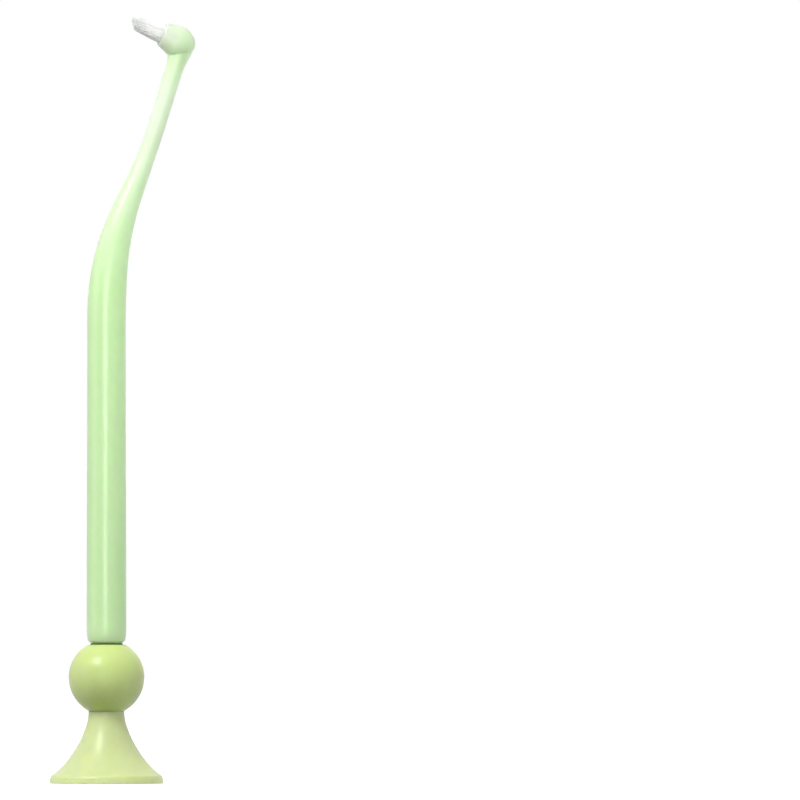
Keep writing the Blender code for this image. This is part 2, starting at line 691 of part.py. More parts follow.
def build_tuft(collection, cutters, finish):
    """The tuft: separate three-sided strands that rise from a slice of their folded root."""
    form, bases = strand_layout()
    foot = PLUG_TOP
    for corner in form.verts:
        corner.co = Vector((corner.co.x * PLUG_RADIUS, corner.co.y * PLUG_RADIUS, foot))
    levels = [
        (STRAND_KNEE_SHARE, 1 + TUFT_SWELL / PLUG_RADIUS, STRAND_WIDTH_SHARE),
        (1, 1 - TUFT_TIP_DRAW_IN / PLUG_RADIUS, STRAND_WIDTH_SHARE * STRAND_TIP_SHARE),
    ]
    strands = []
    for face in bases:
        strands.append((face, face.calc_center_median(), [corner.co.copy() for corner in face.verts]))
    for height_share, spread_share, width_share in levels:
        grown = bmesh.ops.extrude_discrete_faces(form, faces=[face for face, _, _ in strands])["faces"]
        raised = []
        for face, (_, middle, corners) in zip(grown, strands):
            for corner, place in zip(face.verts, corners):
                offset = (place - middle) * width_share
                corner.co = Vector((middle.x, middle.y, 0)) * spread_share + offset
                corner.co.z = foot + strand_length(middle) * height_share
            raised.append((face, middle, corners))
        strands = raised
    rim = [edge for edge in form.edges if edge.is_boundary]
    below = bmesh.ops.extrude_edge_only(form, edges=rim)["geom"]
    for corner in [item for item in below if isinstance(item, bmesh.types.BMVert)]:
        corner.co.z = PLUG_BOTTOM
    bmesh.ops.contextual_create(form, geom=[item for item in below if isinstance(item, bmesh.types.BMEdge)])
    bmesh.ops.recalc_face_normals(form, faces=form.faces)
    tuft = from_bmesh("bristle_tuft", form, collection, finish)
    tuft.matrix_world = head_place()
    window = box(
        "fold_window_cut",
        (ANCHOR_THICKNESS + 2 * FIT_GAP, 2 * (PLUG_RADIUS + CUT_OVERRUN), ANCHOR_HEIGHT + 2 * FIT_GAP),
        cutters,
    )
    window.matrix_world = head_place() @ Matrix.Translation((0, 0, ANCHOR_BOTTOM + ANCHOR_HEIGHT / 2))
    combine(tuft, window, "DIFFERENCE")
    return finished(tuft)


def joint_axis(name, height, children, collection):
    """An empty on the Z axis that carries the pieces of one joint."""
    empty = new_object(name, None, collection)
    empty.location.z = height
    empty.empty_display_size = BALL_RADIUS
    bpy.context.view_layer.update()
    for child in children:
        child.parent = empty
        child.matrix_parent_inverse = empty.matrix_world.inverted()
    return empty


def build_toothbrush():
    """The whole assembly."""
    clear_scene()
    parts = new_collection("orthodontic_toothbrush")
    cutters = new_collection("cutters")
    mint = material("mint_translucent_plastic", srgb(205, 232, 186), 0.22, transmission=0.35)
    pistachio = material("pistachio_satin_plastic", srgb(206, 226, 150), 0.3)
    nylon = material("white_nylon", srgb(240, 242, 238), 0.45)
    elastomer = material("green_elastomer", srgb(120, 150, 84), 0.6)
    rubber = material("grey_rubber", srgb(92, 96, 90), 0.75)
    steel = material("zinc_plated_steel", srgb(176, 178, 182), 0.35, metallic=1)
    brass = material("brass", srgb(204, 170, 96), 0.3, metallic=1)

    build_skirt(parts, pistachio)
    build_ball(parts, pistachio)
    build_weight(parts, steel)
    build_screw(parts, cutters, steel)
    build_washer(parts, steel)
    build_insert(parts, brass)
    build_pad(parts, rubber)
    sleeve = build_sleeve(parts, elastomer)
    handle = build_handle(parts, cutters, mint)
    tuft = build_tuft(parts, cutters, nylon)
    anchor = build_anchor(parts, steel)

    brush = joint_axis("brush_lift_axis", GRIP_BOTTOM, [handle, tuft, anchor], parts)
    joint_axis("brush_turn_axis", SOCKET_FLOOR, [sleeve, brush], parts)


build_toothbrush()
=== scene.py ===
"""Looks of the orthodontic toothbrush in its stand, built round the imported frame.

Metres, +Z up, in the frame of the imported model: the grip stands on the Z axis and the tuft faces -X.
"""

import math
import random

import bmesh
import bpy
from mathutils import Matrix, Vector


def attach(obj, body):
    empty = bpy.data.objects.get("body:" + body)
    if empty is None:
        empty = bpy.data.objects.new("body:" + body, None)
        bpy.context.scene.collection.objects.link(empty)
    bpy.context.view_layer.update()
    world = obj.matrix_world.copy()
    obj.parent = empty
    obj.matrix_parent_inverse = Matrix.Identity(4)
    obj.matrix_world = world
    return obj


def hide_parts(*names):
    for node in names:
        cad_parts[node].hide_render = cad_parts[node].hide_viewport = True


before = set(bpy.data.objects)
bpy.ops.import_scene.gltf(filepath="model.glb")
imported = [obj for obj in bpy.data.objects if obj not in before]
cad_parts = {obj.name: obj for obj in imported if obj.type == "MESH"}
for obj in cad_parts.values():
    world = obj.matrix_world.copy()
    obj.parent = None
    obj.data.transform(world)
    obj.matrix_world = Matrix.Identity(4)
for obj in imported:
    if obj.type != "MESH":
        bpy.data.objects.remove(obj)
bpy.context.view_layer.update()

# Photograph: its width, where the stand's axis meets the foot in it, and how many pixels make a metre

PHOTO_SIZE = 800
AXIS_PIXEL = 106.5
FOOT_PIXEL = 783.5
PIXELS_PER_METRE = 3680

# Camera: how far the view is turned, how far off it stands, its lens and its directions

VIEW_TURN = math.radians(12)
VIEW_DISTANCE = 8
CLIP_START = 0.08
CLIP_END = 80
SENSOR_WIDTH = 36
FORWARD = Vector((math.sin(VIEW_TURN), math.cos(VIEW_TURN), 0))
RIGHT = Vector((math.cos(VIEW_TURN), -math.sin(VIEW_TURN), 0))

# Clearance between pieces, and the difference under which two sizes count as one

FIT_GAP = 0.0003
TOUCHING = FIT_GAP / 100

# Foot: the flared skirt, its cavity, the lip round the ball and the pad

SKIRT_HEIGHT = 0.0194
SKIRT_TOP_RADIUS = 0.0049
SKIRT_RIM_RADIUS = 0.01545
SKIRT_RIM_HEIGHT = 0.0022
SKIRT_RIM_LIFT = 0.00003
SKIRT_WALL = 0.0015
SKIRT_CAVITY_HEIGHT = 0.0095
SKIRT_LIP_RISE = 0.00025
SKIRT_LIP_WIDTH = 0.00012
FLARE_TOP_SHARES = (-0.02, 0.25)
FLARE_FOOT_SHARES = (0.45, 0.8)
FLARE_END_SHARE = 0.95
RIM_HANDLE_SHARE = 0.45
RIM_SHOULDER_SPREAD = 1.5
RIM_ROUNDING = 0.0002
RIM_CUT_SHARE = 0.9
RIM_WIDTH = 0.00145
PAD_THICKNESS = 0.001
PAD_LEDGE = 0.0015
PAD_GROOVES = 9
PAD_GROOVE_PARTS = 5
PAD_GROOVE_DEPTH = 0.0002

# Ball, and the soft sleeve in it

BALL_RADIUS = 0.0103
BALL_MOUTH_LIP = 0.00035
BALL_MOUTH_ROUNDING = 0.00015
SOCKET_WEB = 0.00283
SLEEVE_WALL = 0.0008
FLANGE_OVERHANG = 0.0003
FLANGE_THICKNESS = 0.0006
FLANGE_SINK = 0.00035
SLEEVE_LEAD_IN = 0.0002
SLEEVE_LIP_GAP = 0.00003
SLEEVE_LIP_INSET = 0.0002

# Tie screw, its washer, the threaded insert in the ball and the weight

SCREW_RADIUS = 0.0015
SCREW_HEAD_RADIUS = 0.0028
SCREW_HEAD_HEIGHT = 0.002
SCREW_TIP_CHAMFER = 0.0004
HEX_RADIUS = 0.0012
HEX_DEPTH = 0.0012
HEX_SIDES = 6
THREAD_PITCH = 0.0005
THREAD_DEPTH = 0.00018
THREAD_RINGS = 6
KNURL_DEPTH = 0.00006
WASHER_RADIUS = 0.0035
WASHER_THICKNESS = 0.0006
INSERT_WALL = 0.0008
INSERT_LENGTH = 0.006
INSERT_GROOVE_DEPTH = 0.0003
INSERT_GROOVES = 3
EDGE_ROUNDING = 0.0001

# Grip and neck, along a spine that starts at the lower end of the grip

GRIP_RADIUS = 0.0054
GRIP_WAIST_RADIUS = 0.00525
GRIP_END_RADIUS = 0.0045
GRIP_END_ROUNDING = 0.0032
GRIP_SHOULDER_ROUNDING = 0.0002
NECK_RADIUS = 0.00238
NECK_FLARE_RADIUS = 0.0033
SPINE_LENGTH = 0.1657
BEND_RUN = 0.0448
BEND_ANGLE = math.radians(24.4)
TAPER_DELAY = 0.0063
TAPER_RUN = 0.0486
RETURN_DELAY = 0.0343
RETURN_RUN = 0.0291
RETURN_ANGLE = math.radians(6.9)
NECK_STRAIGHT = 0.0108
FLARE_RUN = 0.0072
NECK_END_ROUNDING = 0.0009
SPIGOT_RADIUS = 0.003
SPIGOT_TIP_ROUNDING = 0.0006
SPIGOT_TIP_SPACE = 0.001

# Head, along the axis of the tuft from the centre of the head

HEAD_RADIUS = 0.0045
HEAD_BACK = 0.0056
HEAD_FRONT = 0.0005
HEAD_CONE = 0.0041
HEAD_SKEW = 0.1
HEAD_SHOULDER_ROUNDING = 0.0009
HEAD_RISE = 0.00095
HEAD_OFFSET = 0.0015
HEAD_MOUTH_WALL = 0.0005
HEAD_LIP_ROUNDING = 0.00012
HOLE_CHAMFER = 0.0001
TUFT_ANGLE = math.radians(22.5)
TUFT_HOLE_DEPTH = 0.0044

# Filaments of the tuft, cut to a slanted point above its axis, their folded root and its anchor

PLUG_RADIUS = 0.0024
PLUG_ROUNDING = 0.0004
FILAMENT_SEED = 11
FILAMENT_COUNT = 860
FILAMENT_RADIUS = 0.00008
FILAMENT_EDGE_RADII = 1.5
FILAMENT_TIP_SHARE = 0.35
FILAMENT_TAPER_START = 0.35
FILAMENT_SIDES = 6
FILAMENT_RINGS = 9
TUFT_LENGTH = 0.0095
TUFT_APEX_OFFSET = 0.001
TUFT_LOW_SLOPE = 0.42
TUFT_HIGH_SLOPE = 1.0
TUFT_EDGE_TRIM = 0.0016
TUFT_EDGE_POWER = 8
TUFT_SWELL = 0.00027
TUFT_TIP_DRAW_IN = 0.00025
DISORDER_SHARE = 0.3
ANCHOR_BITE = 0.0005
ANCHOR_HEIGHT = 0.0009
ANCHOR_THICKNESS = 0.0003
FOLD_DEPTH = 0.0005
FOLD_COVER = 0.0004

# How finely the surfaces are stepped

FINE_SIDES = 128
SMALL_SIDES = 48
KNURL_RIDGES = SMALL_SIDES // 2
CORNER_STEPS = 6
PAD_CORNER_STEPS = 3
FLARE_STEPS = 60
RIM_STEPS = 24
BALL_STEPS = 90
HEAD_STEPS = 40
HEAD_SHOULDER_STEP = 8
CAVITY_STEPS = 12
SPINE_STEP = 0.0004
WALK_STEPS = 400
SHARP_ANGLE = math.radians(35)

# Heights and radii worked out from the ones above

SLEEVE_BORE_RADIUS = SPIGOT_RADIUS + FIT_GAP
SLEEVE_RADIUS = SLEEVE_BORE_RADIUS + SLEEVE_WALL
SOCKET_RADIUS = SLEEVE_RADIUS + FIT_GAP
FLANGE_RADIUS = SLEEVE_RADIUS + FLANGE_OVERHANG
COUNTERBORE_RADIUS = FLANGE_RADIUS + FIT_GAP
BALL_MOUTH_RADIUS = COUNTERBORE_RADIUS + BALL_MOUTH_LIP + BALL_MOUTH_ROUNDING
SEAT_RADIUS = BALL_RADIUS + FIT_GAP
BALL_CENTRE = SKIRT_HEIGHT + math.sqrt(SEAT_RADIUS ** 2 - SKIRT_TOP_RADIUS ** 2)
BALL_TOP = BALL_CENTRE + math.sqrt(BALL_RADIUS ** 2 - BALL_MOUTH_RADIUS ** 2)
FLANGE_BOTTOM = BALL_TOP - FLANGE_SINK
FLANGE_TOP = FLANGE_BOTTOM + FLANGE_THICKNESS
GRIP_BOTTOM = FLANGE_TOP + FIT_GAP
SCREW_BORE_RADIUS = SCREW_RADIUS + FIT_GAP
INSERT_RADIUS = SCREW_BORE_RADIUS + INSERT_WALL
INSERT_BORE_RADIUS = INSERT_RADIUS + FIT_GAP
INSERT_BOTTOM = BALL_CENTRE - math.sqrt(BALL_RADIUS ** 2 - INSERT_BORE_RADIUS ** 2)
INSERT_TOP = INSERT_BOTTOM + INSERT_LENGTH
INSERT_BORE_TOP = INSERT_TOP + FIT_GAP
SOCKET_FLOOR = INSERT_BORE_TOP + SOCKET_WEB
SLEEVE_BOTTOM = SOCKET_FLOOR + FIT_GAP
SPIGOT_BOTTOM = SLEEVE_BOTTOM + SPIGOT_TIP_SPACE
SCREW_HEAD_BOTTOM = PAD_THICKNESS + FIT_GAP
SCREW_HEAD_TOP = SCREW_HEAD_BOTTOM + SCREW_HEAD_HEIGHT
WASHER_BOTTOM = SCREW_HEAD_TOP + FIT_GAP
WASHER_TOP = WASHER_BOTTOM + WASHER_THICKNESS
RECESS_RADIUS = SKIRT_RIM_RADIUS - RIM_WIDTH
PAD_RADIUS = RECESS_RADIUS - FIT_GAP
WEIGHT_BOTTOM = PAD_THICKNESS + FIT_GAP
WEIGHT_TOP = SKIRT_CAVITY_HEIGHT - FIT_GAP
TUFT_HOLE_RADIUS = PLUG_RADIUS + FIT_GAP
HEAD_MOUTH_RADIUS = TUFT_HOLE_RADIUS + HEAD_MOUTH_WALL
HEAD_MOUTH_REACH = HEAD_FRONT + HEAD_CONE
PLUG_BOTTOM = HEAD_MOUTH_REACH - TUFT_HOLE_DEPTH + FIT_GAP
ANCHOR_BOTTOM = PLUG_BOTTOM + FOLD_DEPTH + FIT_GAP
ANCHOR_MIDDLE = ANCHOR_BOTTOM + ANCHOR_HEIGHT / 2
PLUG_TOP = ANCHOR_BOTTOM + ANCHOR_HEIGHT + FIT_GAP + FOLD_COVER
RETURN_START = SPINE_LENGTH - FLARE_RUN - NECK_STRAIGHT - RETURN_RUN
BEND_START = RETURN_START - RETURN_DELAY
TAPER_START = BEND_START + TAPER_DELAY


def smooth_step(share):
    """Rise from 0 to 1 with level ends, for a share of a run."""
    share = min(max(share, 0), 1)
    return share * share * (3 - 2 * share)


def mixed(low, high, share):
    """The value a share of the way from low to high."""
    return low + (high - low) * share


def rounded(corners, steps=CORNER_STEPS):
    """A profile of (radius, height) points from corners (radius, height, rounding), each cut by an arc."""
    points = []
    for index, (radius, height, rounding) in enumerate(corners):
        corner = Vector((radius, height))
        if not rounding:
            points.append(tuple(corner))
            continue
        before = Vector(corners[index - 1][:2]) - corner
        after = Vector(corners[(index + 1) % len(corners)][:2]) - corner
        start = corner + before.normalized() * rounding
        end = corner + after.normalized() * rounding
        for step in range(steps + 1):
            share = step / steps
            point = start * (1 - share) ** 2 + corner * 2 * share * (1 - share) + end * share ** 2
            points.append(tuple(point))
    return points


def plain(points):
    """Corners without rounding from profile points."""
    return [(radius, height, 0) for radius, height in points]


def even_angles(sides):
    """Angles evenly spread round a circle."""
    return [2 * math.pi * side / sides for side in range(sides)]


def arc(centre_height, radius, start, end, steps):
    """Profile points on a circle about a point of the axis, by angle above the level."""
    angles = [mixed(start, end, step / steps) for step in range(steps + 1)]
    return [(radius * math.cos(angle), centre_height + radius * math.sin(angle)) for angle in angles]


def bezier(start, near, far, end, steps):
    """Profile points on a cubic curve."""
    start, near, far, end = (Vector(point) for point in (start, near, far, end))
    points = []
    for step in range(steps + 1):
        share = step / steps
        rest = 1 - share
        outer = start * rest ** 3 + end * share ** 3
        inner = (near * rest + far * share) * 3 * rest * share
        points.append(tuple(outer + inner))
    return points


def placed(name, mesh):
    """An object in the scene, shaded smooth between its sharp edges."""
    mesh.shade_smooth()
    mesh.set_sharp_from_angle(angle=SHARP_ANGLE)
    made = bpy.data.objects.new(name, mesh)
    bpy.context.scene.collection.objects.link(made)
    return made


def from_bmesh(name, form):
    """An object made of a finished bmesh, its faces pointing out."""
    bmesh.ops.recalc_face_normals(form, faces=form.faces)
    mesh = bpy.data.meshes.new(name)
    form.to_mesh(mesh)
    form.free()
    return placed(name, mesh)


def skinned(form, rings, closed=False):
    """Faces between rings of vertices; an end ring of one vertex closes to a point."""
    pairs = list(zip(rings, rings[1:]))
    if closed:
        pairs.append((rings[-1], rings[0]))
    for lower, upper in pairs:
        count = max(len(lower), len(upper))
        for index in range(count):
            corners = [
                lower[index % len(lower)],
                lower[(index + 1) % len(lower)],
                upper[(index + 1) % len(upper)],
                upper[index % len(upper)],
            ]
            form.faces.new(list(dict.fromkeys(corners)))


def turned(name, profile, sides=FINE_SIDES, closed=False, ripple=None):
    """A solid turned about Z from a profile; ripple(angle, radius, height) adds to the radius."""
    form = bmesh.new()
    rings = []
    for radius, height in profile:
        if radius < TOUCHING:
            rings.append([form.verts.new((0, 0, height))])
            continue
        ring = []
        for angle in even_angles(sides):
            reach = radius + (ripple(angle, radius, height) if ripple else 0)
            ring.append(form.verts.new((reach * math.cos(angle), reach * math.sin(angle), height)))
        rings.append(ring)
    skinned(form, rings, closed)
    return from_bmesh(name, form)


def anchor_window(name, length):
    """A box with room for the anchor and the clearance round it, as a tool for cutting."""
    form = bmesh.new()
    size = (ANCHOR_THICKNESS + 2 * FIT_GAP, length, ANCHOR_HEIGHT + 2 * FIT_GAP)
    place = Matrix.Translation((0, 0, ANCHOR_MIDDLE)) @ Matrix.Diagonal((*size, 1))
    bmesh.ops.create_cube(form, size=1, matrix=place)
    return from_bmesh(name, form)


def combined(base, other, operation):
    """Join another solid to the base, or cut it away, and drop the other."""
    change = base.modifiers.new(operation.lower(), "BOOLEAN")
    change.operation = operation
    change.solver = "EXACT"
    change.object = other
    graph = bpy.context.evaluated_depsgraph_get()
    graph.update()
    mesh = bpy.data.meshes.new_from_object(base.evaluated_get(graph))
    base.modifiers.clear()
    base.data = mesh
    mesh.shade_smooth()
    mesh.set_sharp_from_angle(angle=SHARP_ANGLE)
    bpy.data.objects.remove(other, do_unlink=True)
    return base


def flare_points():
    """The outer curve of the skirt, from its top edge down to where the rim rounds off."""
    width = SKIRT_RIM_RADIUS - SKIRT_TOP_RADIUS
    height = SKIRT_HEIGHT - SKIRT_RIM_HEIGHT
    return bezier(
        (SKIRT_TOP_RADIUS, SKIRT_HEIGHT),
        (SKIRT_TOP_RADIUS + width * FLARE_TOP_SHARES[0], SKIRT_HEIGHT - height * FLARE_TOP_SHARES[1]),
        (SKIRT_TOP_RADIUS + width * FLARE_FOOT_SHARES[0], SKIRT_HEIGHT - height * FLARE_FOOT_SHARES[1]),
        (SKIRT_TOP_RADIUS + width * FLARE_END_SHARE, SKIRT_RIM_HEIGHT),
        FLARE_STEPS,
    )


def flare_radius(height):
    """Outer radius of the skirt at a height, read along the flare."""
    points = flare_points()
    for (upper_radius, upper), (lower_radius, lower) in zip(points, points[1:]):
        if lower <= height <= upper:
            return mixed(lower_radius, upper_radius, (height - lower) / (upper - lower))
    return SKIRT_RIM_RADIUS if height < SKIRT_RIM_HEIGHT else SKIRT_TOP_RADIUS


def cavity_radius(height):
    """Inner radius of the skirt at a height, inside the flare's wall and the ledge of the pad's recess."""
    inside_wall = min(flare_radius(height) - SKIRT_WALL, flare_radius(height + SKIRT_WALL))
    return min(inside_wall, RECESS_RADIUS - PAD_LEDGE)


def cavity_profile(bottom, top, gap):
    """Profile up the wall of the cavity, a gap inside it."""
    heights = [mixed(bottom, top, step / CAVITY_STEPS) for step in range(CAVITY_STEPS + 1)]
    return [(cavity_radius(height) - gap, height) for height in heights]


def seat_height(radius):
    """Height of the dish under the ball at a radius."""
    return BALL_CENTRE - math.sqrt(SEAT_RADIUS ** 2 - radius ** 2)


def skirt_rim(end_radius, end_height):
    """Profile from the end of the flare round the thin rim and under it."""
    foot = SKIRT_RIM_LIFT + RIM_ROUNDING
    drop = (end_height - foot) * RIM_HANDLE_SHARE
    outward = (SKIRT_RIM_RADIUS - end_radius) * RIM_HANDLE_SHARE
    shoulder = bezier(
        (end_radius, end_height),
        (end_radius + outward * RIM_SHOULDER_SPREAD, end_height - drop / 2),
        (SKIRT_RIM_RADIUS, foot + drop),
        (SKIRT_RIM_RADIUS, foot),
        RIM_STEPS,
    )
    edge = rounded([
        (SKIRT_RIM_RADIUS, foot, 0),
        (SKIRT_RIM_RADIUS, SKIRT_RIM_LIFT, RIM_ROUNDING * RIM_CUT_SHARE),
        (SKIRT_RIM_RADIUS - RIM_ROUNDING * 2, SKIRT_RIM_LIFT, 0),
    ])
    return shoulder[1:] + edge[1:]


def skirt_inside():
    """Profile up the recess of the pad, the cavity and the hole for the screw."""
    recess_top = PAD_THICKNESS + FIT_GAP
    return rounded([
        (RECESS_RADIUS, SKIRT_RIM_LIFT, EDGE_ROUNDING),
        (RECESS_RADIUS, recess_top, 0),
    ] + plain(cavity_profile(recess_top, SKIRT_CAVITY_HEIGHT, 0)) + [
        (SCREW_BORE_RADIUS, SKIRT_CAVITY_HEIGHT, 0),
        (SCREW_BORE_RADIUS, seat_height(SCREW_BORE_RADIUS), 0),
    ])


def skirt_dish():
    """Profile of the dish under the ball and of the lip that closes on it."""
    lip_radius = SKIRT_TOP_RADIUS - SKIRT_LIP_WIDTH
    stride = (lip_radius - SCREW_BORE_RADIUS) / CAVITY_STEPS
    radii = [SCREW_BORE_RADIUS + stride * step for step in range(1, CAVITY_STEPS)]
    return [(radius, seat_height(radius)) for radius in radii] + [
        (lip_radius - SKIRT_LIP_WIDTH, seat_height(lip_radius) + SKIRT_LIP_RISE / 2),
        (lip_radius, SKIRT_HEIGHT + SKIRT_LIP_RISE),
        (SKIRT_TOP_RADIUS, SKIRT_HEIGHT + SKIRT_LIP_RISE / 2),
    ]


def build_skirt():
    """The flared foot: a thin rounded rim, a cavity from below, and a lip that closes on the ball."""
    flare = flare_points()
    profile = flare + skirt_rim(*flare[-1]) + skirt_inside() + skirt_dish()
    return turned("skirt_shell", profile, closed=True)


def build_ball():
    """The ball: a socket with a softly rounded mouth, and the bore for the threaded insert."""
    start = math.acos(BALL_MOUTH_RADIUS / BALL_RADIUS)
    end = -math.acos(INSERT_BORE_RADIUS / BALL_RADIUS)
    sphere = arc(BALL_CENTRE, BALL_RADIUS, start, end, BALL_STEPS)
    counterbore_floor = FLANGE_BOTTOM - FIT_GAP
    socket = rounded([
        (0, SOCKET_FLOOR, 0),
        (SOCKET_RADIUS, SOCKET_FLOOR, EDGE_ROUNDING),
        (SOCKET_RADIUS, counterbore_floor, EDGE_ROUNDING),
        (COUNTERBORE_RADIUS, counterbore_floor, EDGE_ROUNDING),
        (COUNTERBORE_RADIUS, BALL_TOP, EDGE_ROUNDING),
        (*sphere[0], BALL_MOUTH_ROUNDING),
        (*sphere[1], 0),
    ])[:-1]
    bore = [(INSERT_BORE_RADIUS, INSERT_BORE_TOP), (0, INSERT_BORE_TOP)]
    return turned("stand_sphere", socket + sphere[1:] + bore)


def build_sleeve():
    """The soft sleeve in the socket; its dark flange, a ring under the grip, is partly painted shade for the
    gap's shadow.
    """
    return turned("soft_sleeve", rounded([
        (SLEEVE_BORE_RADIUS, FLANGE_TOP, SLEEVE_LEAD_IN),
        (SLEEVE_RADIUS - SLEEVE_LIP_INSET, FLANGE_TOP, 0),
        (SLEEVE_RADIUS, GRIP_BOTTOM - SLEEVE_LIP_GAP, 0),
        (FLANGE_RADIUS, FLANGE_TOP, EDGE_ROUNDING),
        (FLANGE_RADIUS, FLANGE_BOTTOM, EDGE_ROUNDING),
        (SLEEVE_RADIUS, FLANGE_BOTTOM, EDGE_ROUNDING),
        (SLEEVE_RADIUS, SLEEVE_BOTTOM, SLEEVE_LEAD_IN),
        (SLEEVE_BORE_RADIUS, SLEEVE_BOTTOM, EDGE_ROUNDING),
    ]), closed=True)


def build_weight():
    """The turned steel weight in the cavity, bored for the screw and counterbored for its head."""
    head_radius = WASHER_RADIUS + FIT_GAP
    head_top = WASHER_TOP + FIT_GAP
    outside = cavity_profile(WEIGHT_BOTTOM, WEIGHT_TOP, FIT_GAP)
    profile = rounded([(*outside[0], EDGE_ROUNDING)] + plain(outside[1:-1]) + [
        (*outside[-1], EDGE_ROUNDING),
        (SCREW_BORE_RADIUS, WEIGHT_TOP, EDGE_ROUNDING),
        (SCREW_BORE_RADIUS, head_top, EDGE_ROUNDING),
        (head_radius, head_top, EDGE_ROUNDING),
        (head_radius, WEIGHT_BOTTOM, EDGE_ROUNDING),
    ])
    return turned("turned_weight", profile, closed=True)


def thread_wave(angle, height):
    """Height of a thread's flank, 0 at its root and 1 at its crest."""
    turns = height / THREAD_PITCH - angle / (2 * math.pi)
    return abs(2 * (turns % 1) - 1)


def threaded_run(radius, start, end):
    """Profile points up or down a thread, close enough to carry its flanks."""
    count = round(abs(end - start) / THREAD_PITCH * THREAD_RINGS)
    return [(radius, mixed(start, end, step / count)) for step in range(count + 1)]


def screw_ripple(angle, radius, height):
    """Thread on the shank of the screw, and a knurl round its head."""
    on_head = SCREW_HEAD_BOTTOM + SCREW_TIP_CHAMFER < height < SCREW_HEAD_TOP - EDGE_ROUNDING
    if on_head and radius > SCREW_HEAD_RADIUS - TOUCHING:
        return KNURL_DEPTH * (math.cos(angle * KNURL_RIDGES) - 1)
    on_shank = SCREW_HEAD_TOP + THREAD_PITCH < height < INSERT_TOP - SCREW_TIP_CHAMFER
    if on_shank and radius > SCREW_RADIUS - TOUCHING:
        return THREAD_DEPTH * (thread_wave(angle, height) - 1)
    return 0


def build_screw():
    """The tie screw, head down: a knurled head with a hexagon socket, and a threaded shank."""
    shank = threaded_run(SCREW_RADIUS, SCREW_HEAD_TOP, INSERT_TOP - SCREW_TIP_CHAMFER)
    head = rounded([
        (0, SCREW_HEAD_BOTTOM, 0),
        (SCREW_HEAD_RADIUS - SCREW_TIP_CHAMFER, SCREW_HEAD_BOTTOM, 0),
        (SCREW_HEAD_RADIUS, SCREW_HEAD_BOTTOM + SCREW_TIP_CHAMFER, 0),
        (SCREW_HEAD_RADIUS, SCREW_HEAD_BOTTOM + SCREW_TIP_CHAMFER + EDGE_ROUNDING, 0),
        (SCREW_HEAD_RADIUS, SCREW_HEAD_TOP - EDGE_ROUNDING * 2, 0),
        (SCREW_HEAD_RADIUS, SCREW_HEAD_TOP, EDGE_ROUNDING),
        (SCREW_RADIUS, SCREW_HEAD_TOP, 0),
    ])[:-1]
    tip = [(SCREW_RADIUS - SCREW_TIP_CHAMFER, INSERT_TOP), (0, INSERT_TOP)]
    screw = turned("threaded_screw", head + shank + tip, SMALL_SIDES, ripple=screw_ripple)
    top = SCREW_HEAD_BOTTOM + HEX_DEPTH
    bottom = SCREW_HEAD_BOTTOM - HEX_DEPTH
    outline = [(0, bottom), (HEX_RADIUS, bottom), (HEX_RADIUS, top), (0, top)]
    socket = turned("hexagon", outline, HEX_SIDES)
    return combined(screw, socket, "DIFFERENCE")


def build_washer():
    """The washer between the screw's head and the weight."""
    return turned("flat_washer", rounded([
        (WASHER_RADIUS, WASHER_TOP, EDGE_ROUNDING),
        (WASHER_RADIUS, WASHER_BOTTOM, EDGE_ROUNDING),
        (SCREW_BORE_RADIUS, WASHER_BOTTOM, EDGE_ROUNDING),
        (SCREW_BORE_RADIUS, WASHER_TOP, EDGE_ROUNDING),
    ]), closed=True)


def insert_ripple(angle, radius, height):
    """Knurl on the bands of the insert, and a thread in its bore."""
    if radius > INSERT_RADIUS - TOUCHING:
        return KNURL_DEPTH * (math.cos(angle * KNURL_RIDGES) - 1)
    if radius < SCREW_BORE_RADIUS + TOUCHING:
        return THREAD_DEPTH * thread_wave(angle, height)
    return 0


def build_insert():
    """The brass insert: knurled bands between grooves, and a threaded bore."""
    band = (INSERT_TOP - INSERT_BOTTOM) / (2 * INSERT_GROOVES + 1)
    inner = INSERT_RADIUS - INSERT_GROOVE_DEPTH
    outside = [(INSERT_RADIUS, INSERT_TOP)]
    for groove in range(INSERT_GROOVES):
        upper = INSERT_TOP - band * (2 * groove + 1)
        lower = upper - band
        outside += [(INSERT_RADIUS, upper), (inner, upper), (inner, lower), (INSERT_RADIUS, lower)]
    outside.append((INSERT_RADIUS, INSERT_BOTTOM))
    bore = threaded_run(SCREW_BORE_RADIUS, INSERT_BOTTOM, INSERT_TOP)
    return turned("knurled_insert", outside + bore, SMALL_SIDES, closed=True, ripple=insert_ripple)


def build_pad():
    """The rubber pad of the foot, with ring grooves between the ribs that it stands on."""
    pitch = PAD_RADIUS / (PAD_GROOVES + 1)
    groove_reach = pitch / PAD_GROOVE_PARTS
    corners = [
        (0, PAD_THICKNESS, 0),
        (PAD_RADIUS, PAD_THICKNESS, EDGE_ROUNDING),
        (PAD_RADIUS, 0, EDGE_ROUNDING),
    ]
    for groove in range(PAD_GROOVES, 0, -1):
        outer = pitch * groove + groove_reach
        inner = pitch * groove - groove_reach
        corners += [
            (outer, 0, EDGE_ROUNDING / 2),
            (outer - EDGE_ROUNDING, PAD_GROOVE_DEPTH, 0),
            (inner + EDGE_ROUNDING, PAD_GROOVE_DEPTH, 0),
            (inner, 0, EDGE_ROUNDING / 2),
        ]
    return turned("ribbed_pad", rounded(corners + [(0, 0, 0)], PAD_CORNER_STEPS))


def lean_at(distance):
    """Lean of the spine from upright, towards +X, at a distance along it."""
    bend = BEND_ANGLE * smooth_step((distance - BEND_START) / BEND_RUN)
    ease_back = RETURN_ANGLE * smooth_step((distance - RETURN_START) / RETURN_RUN)
    return bend - ease_back


def along_spine(lean):
    """Direction of the spine for its lean."""
    return Vector((math.sin(lean), 0, math.cos(lean)))


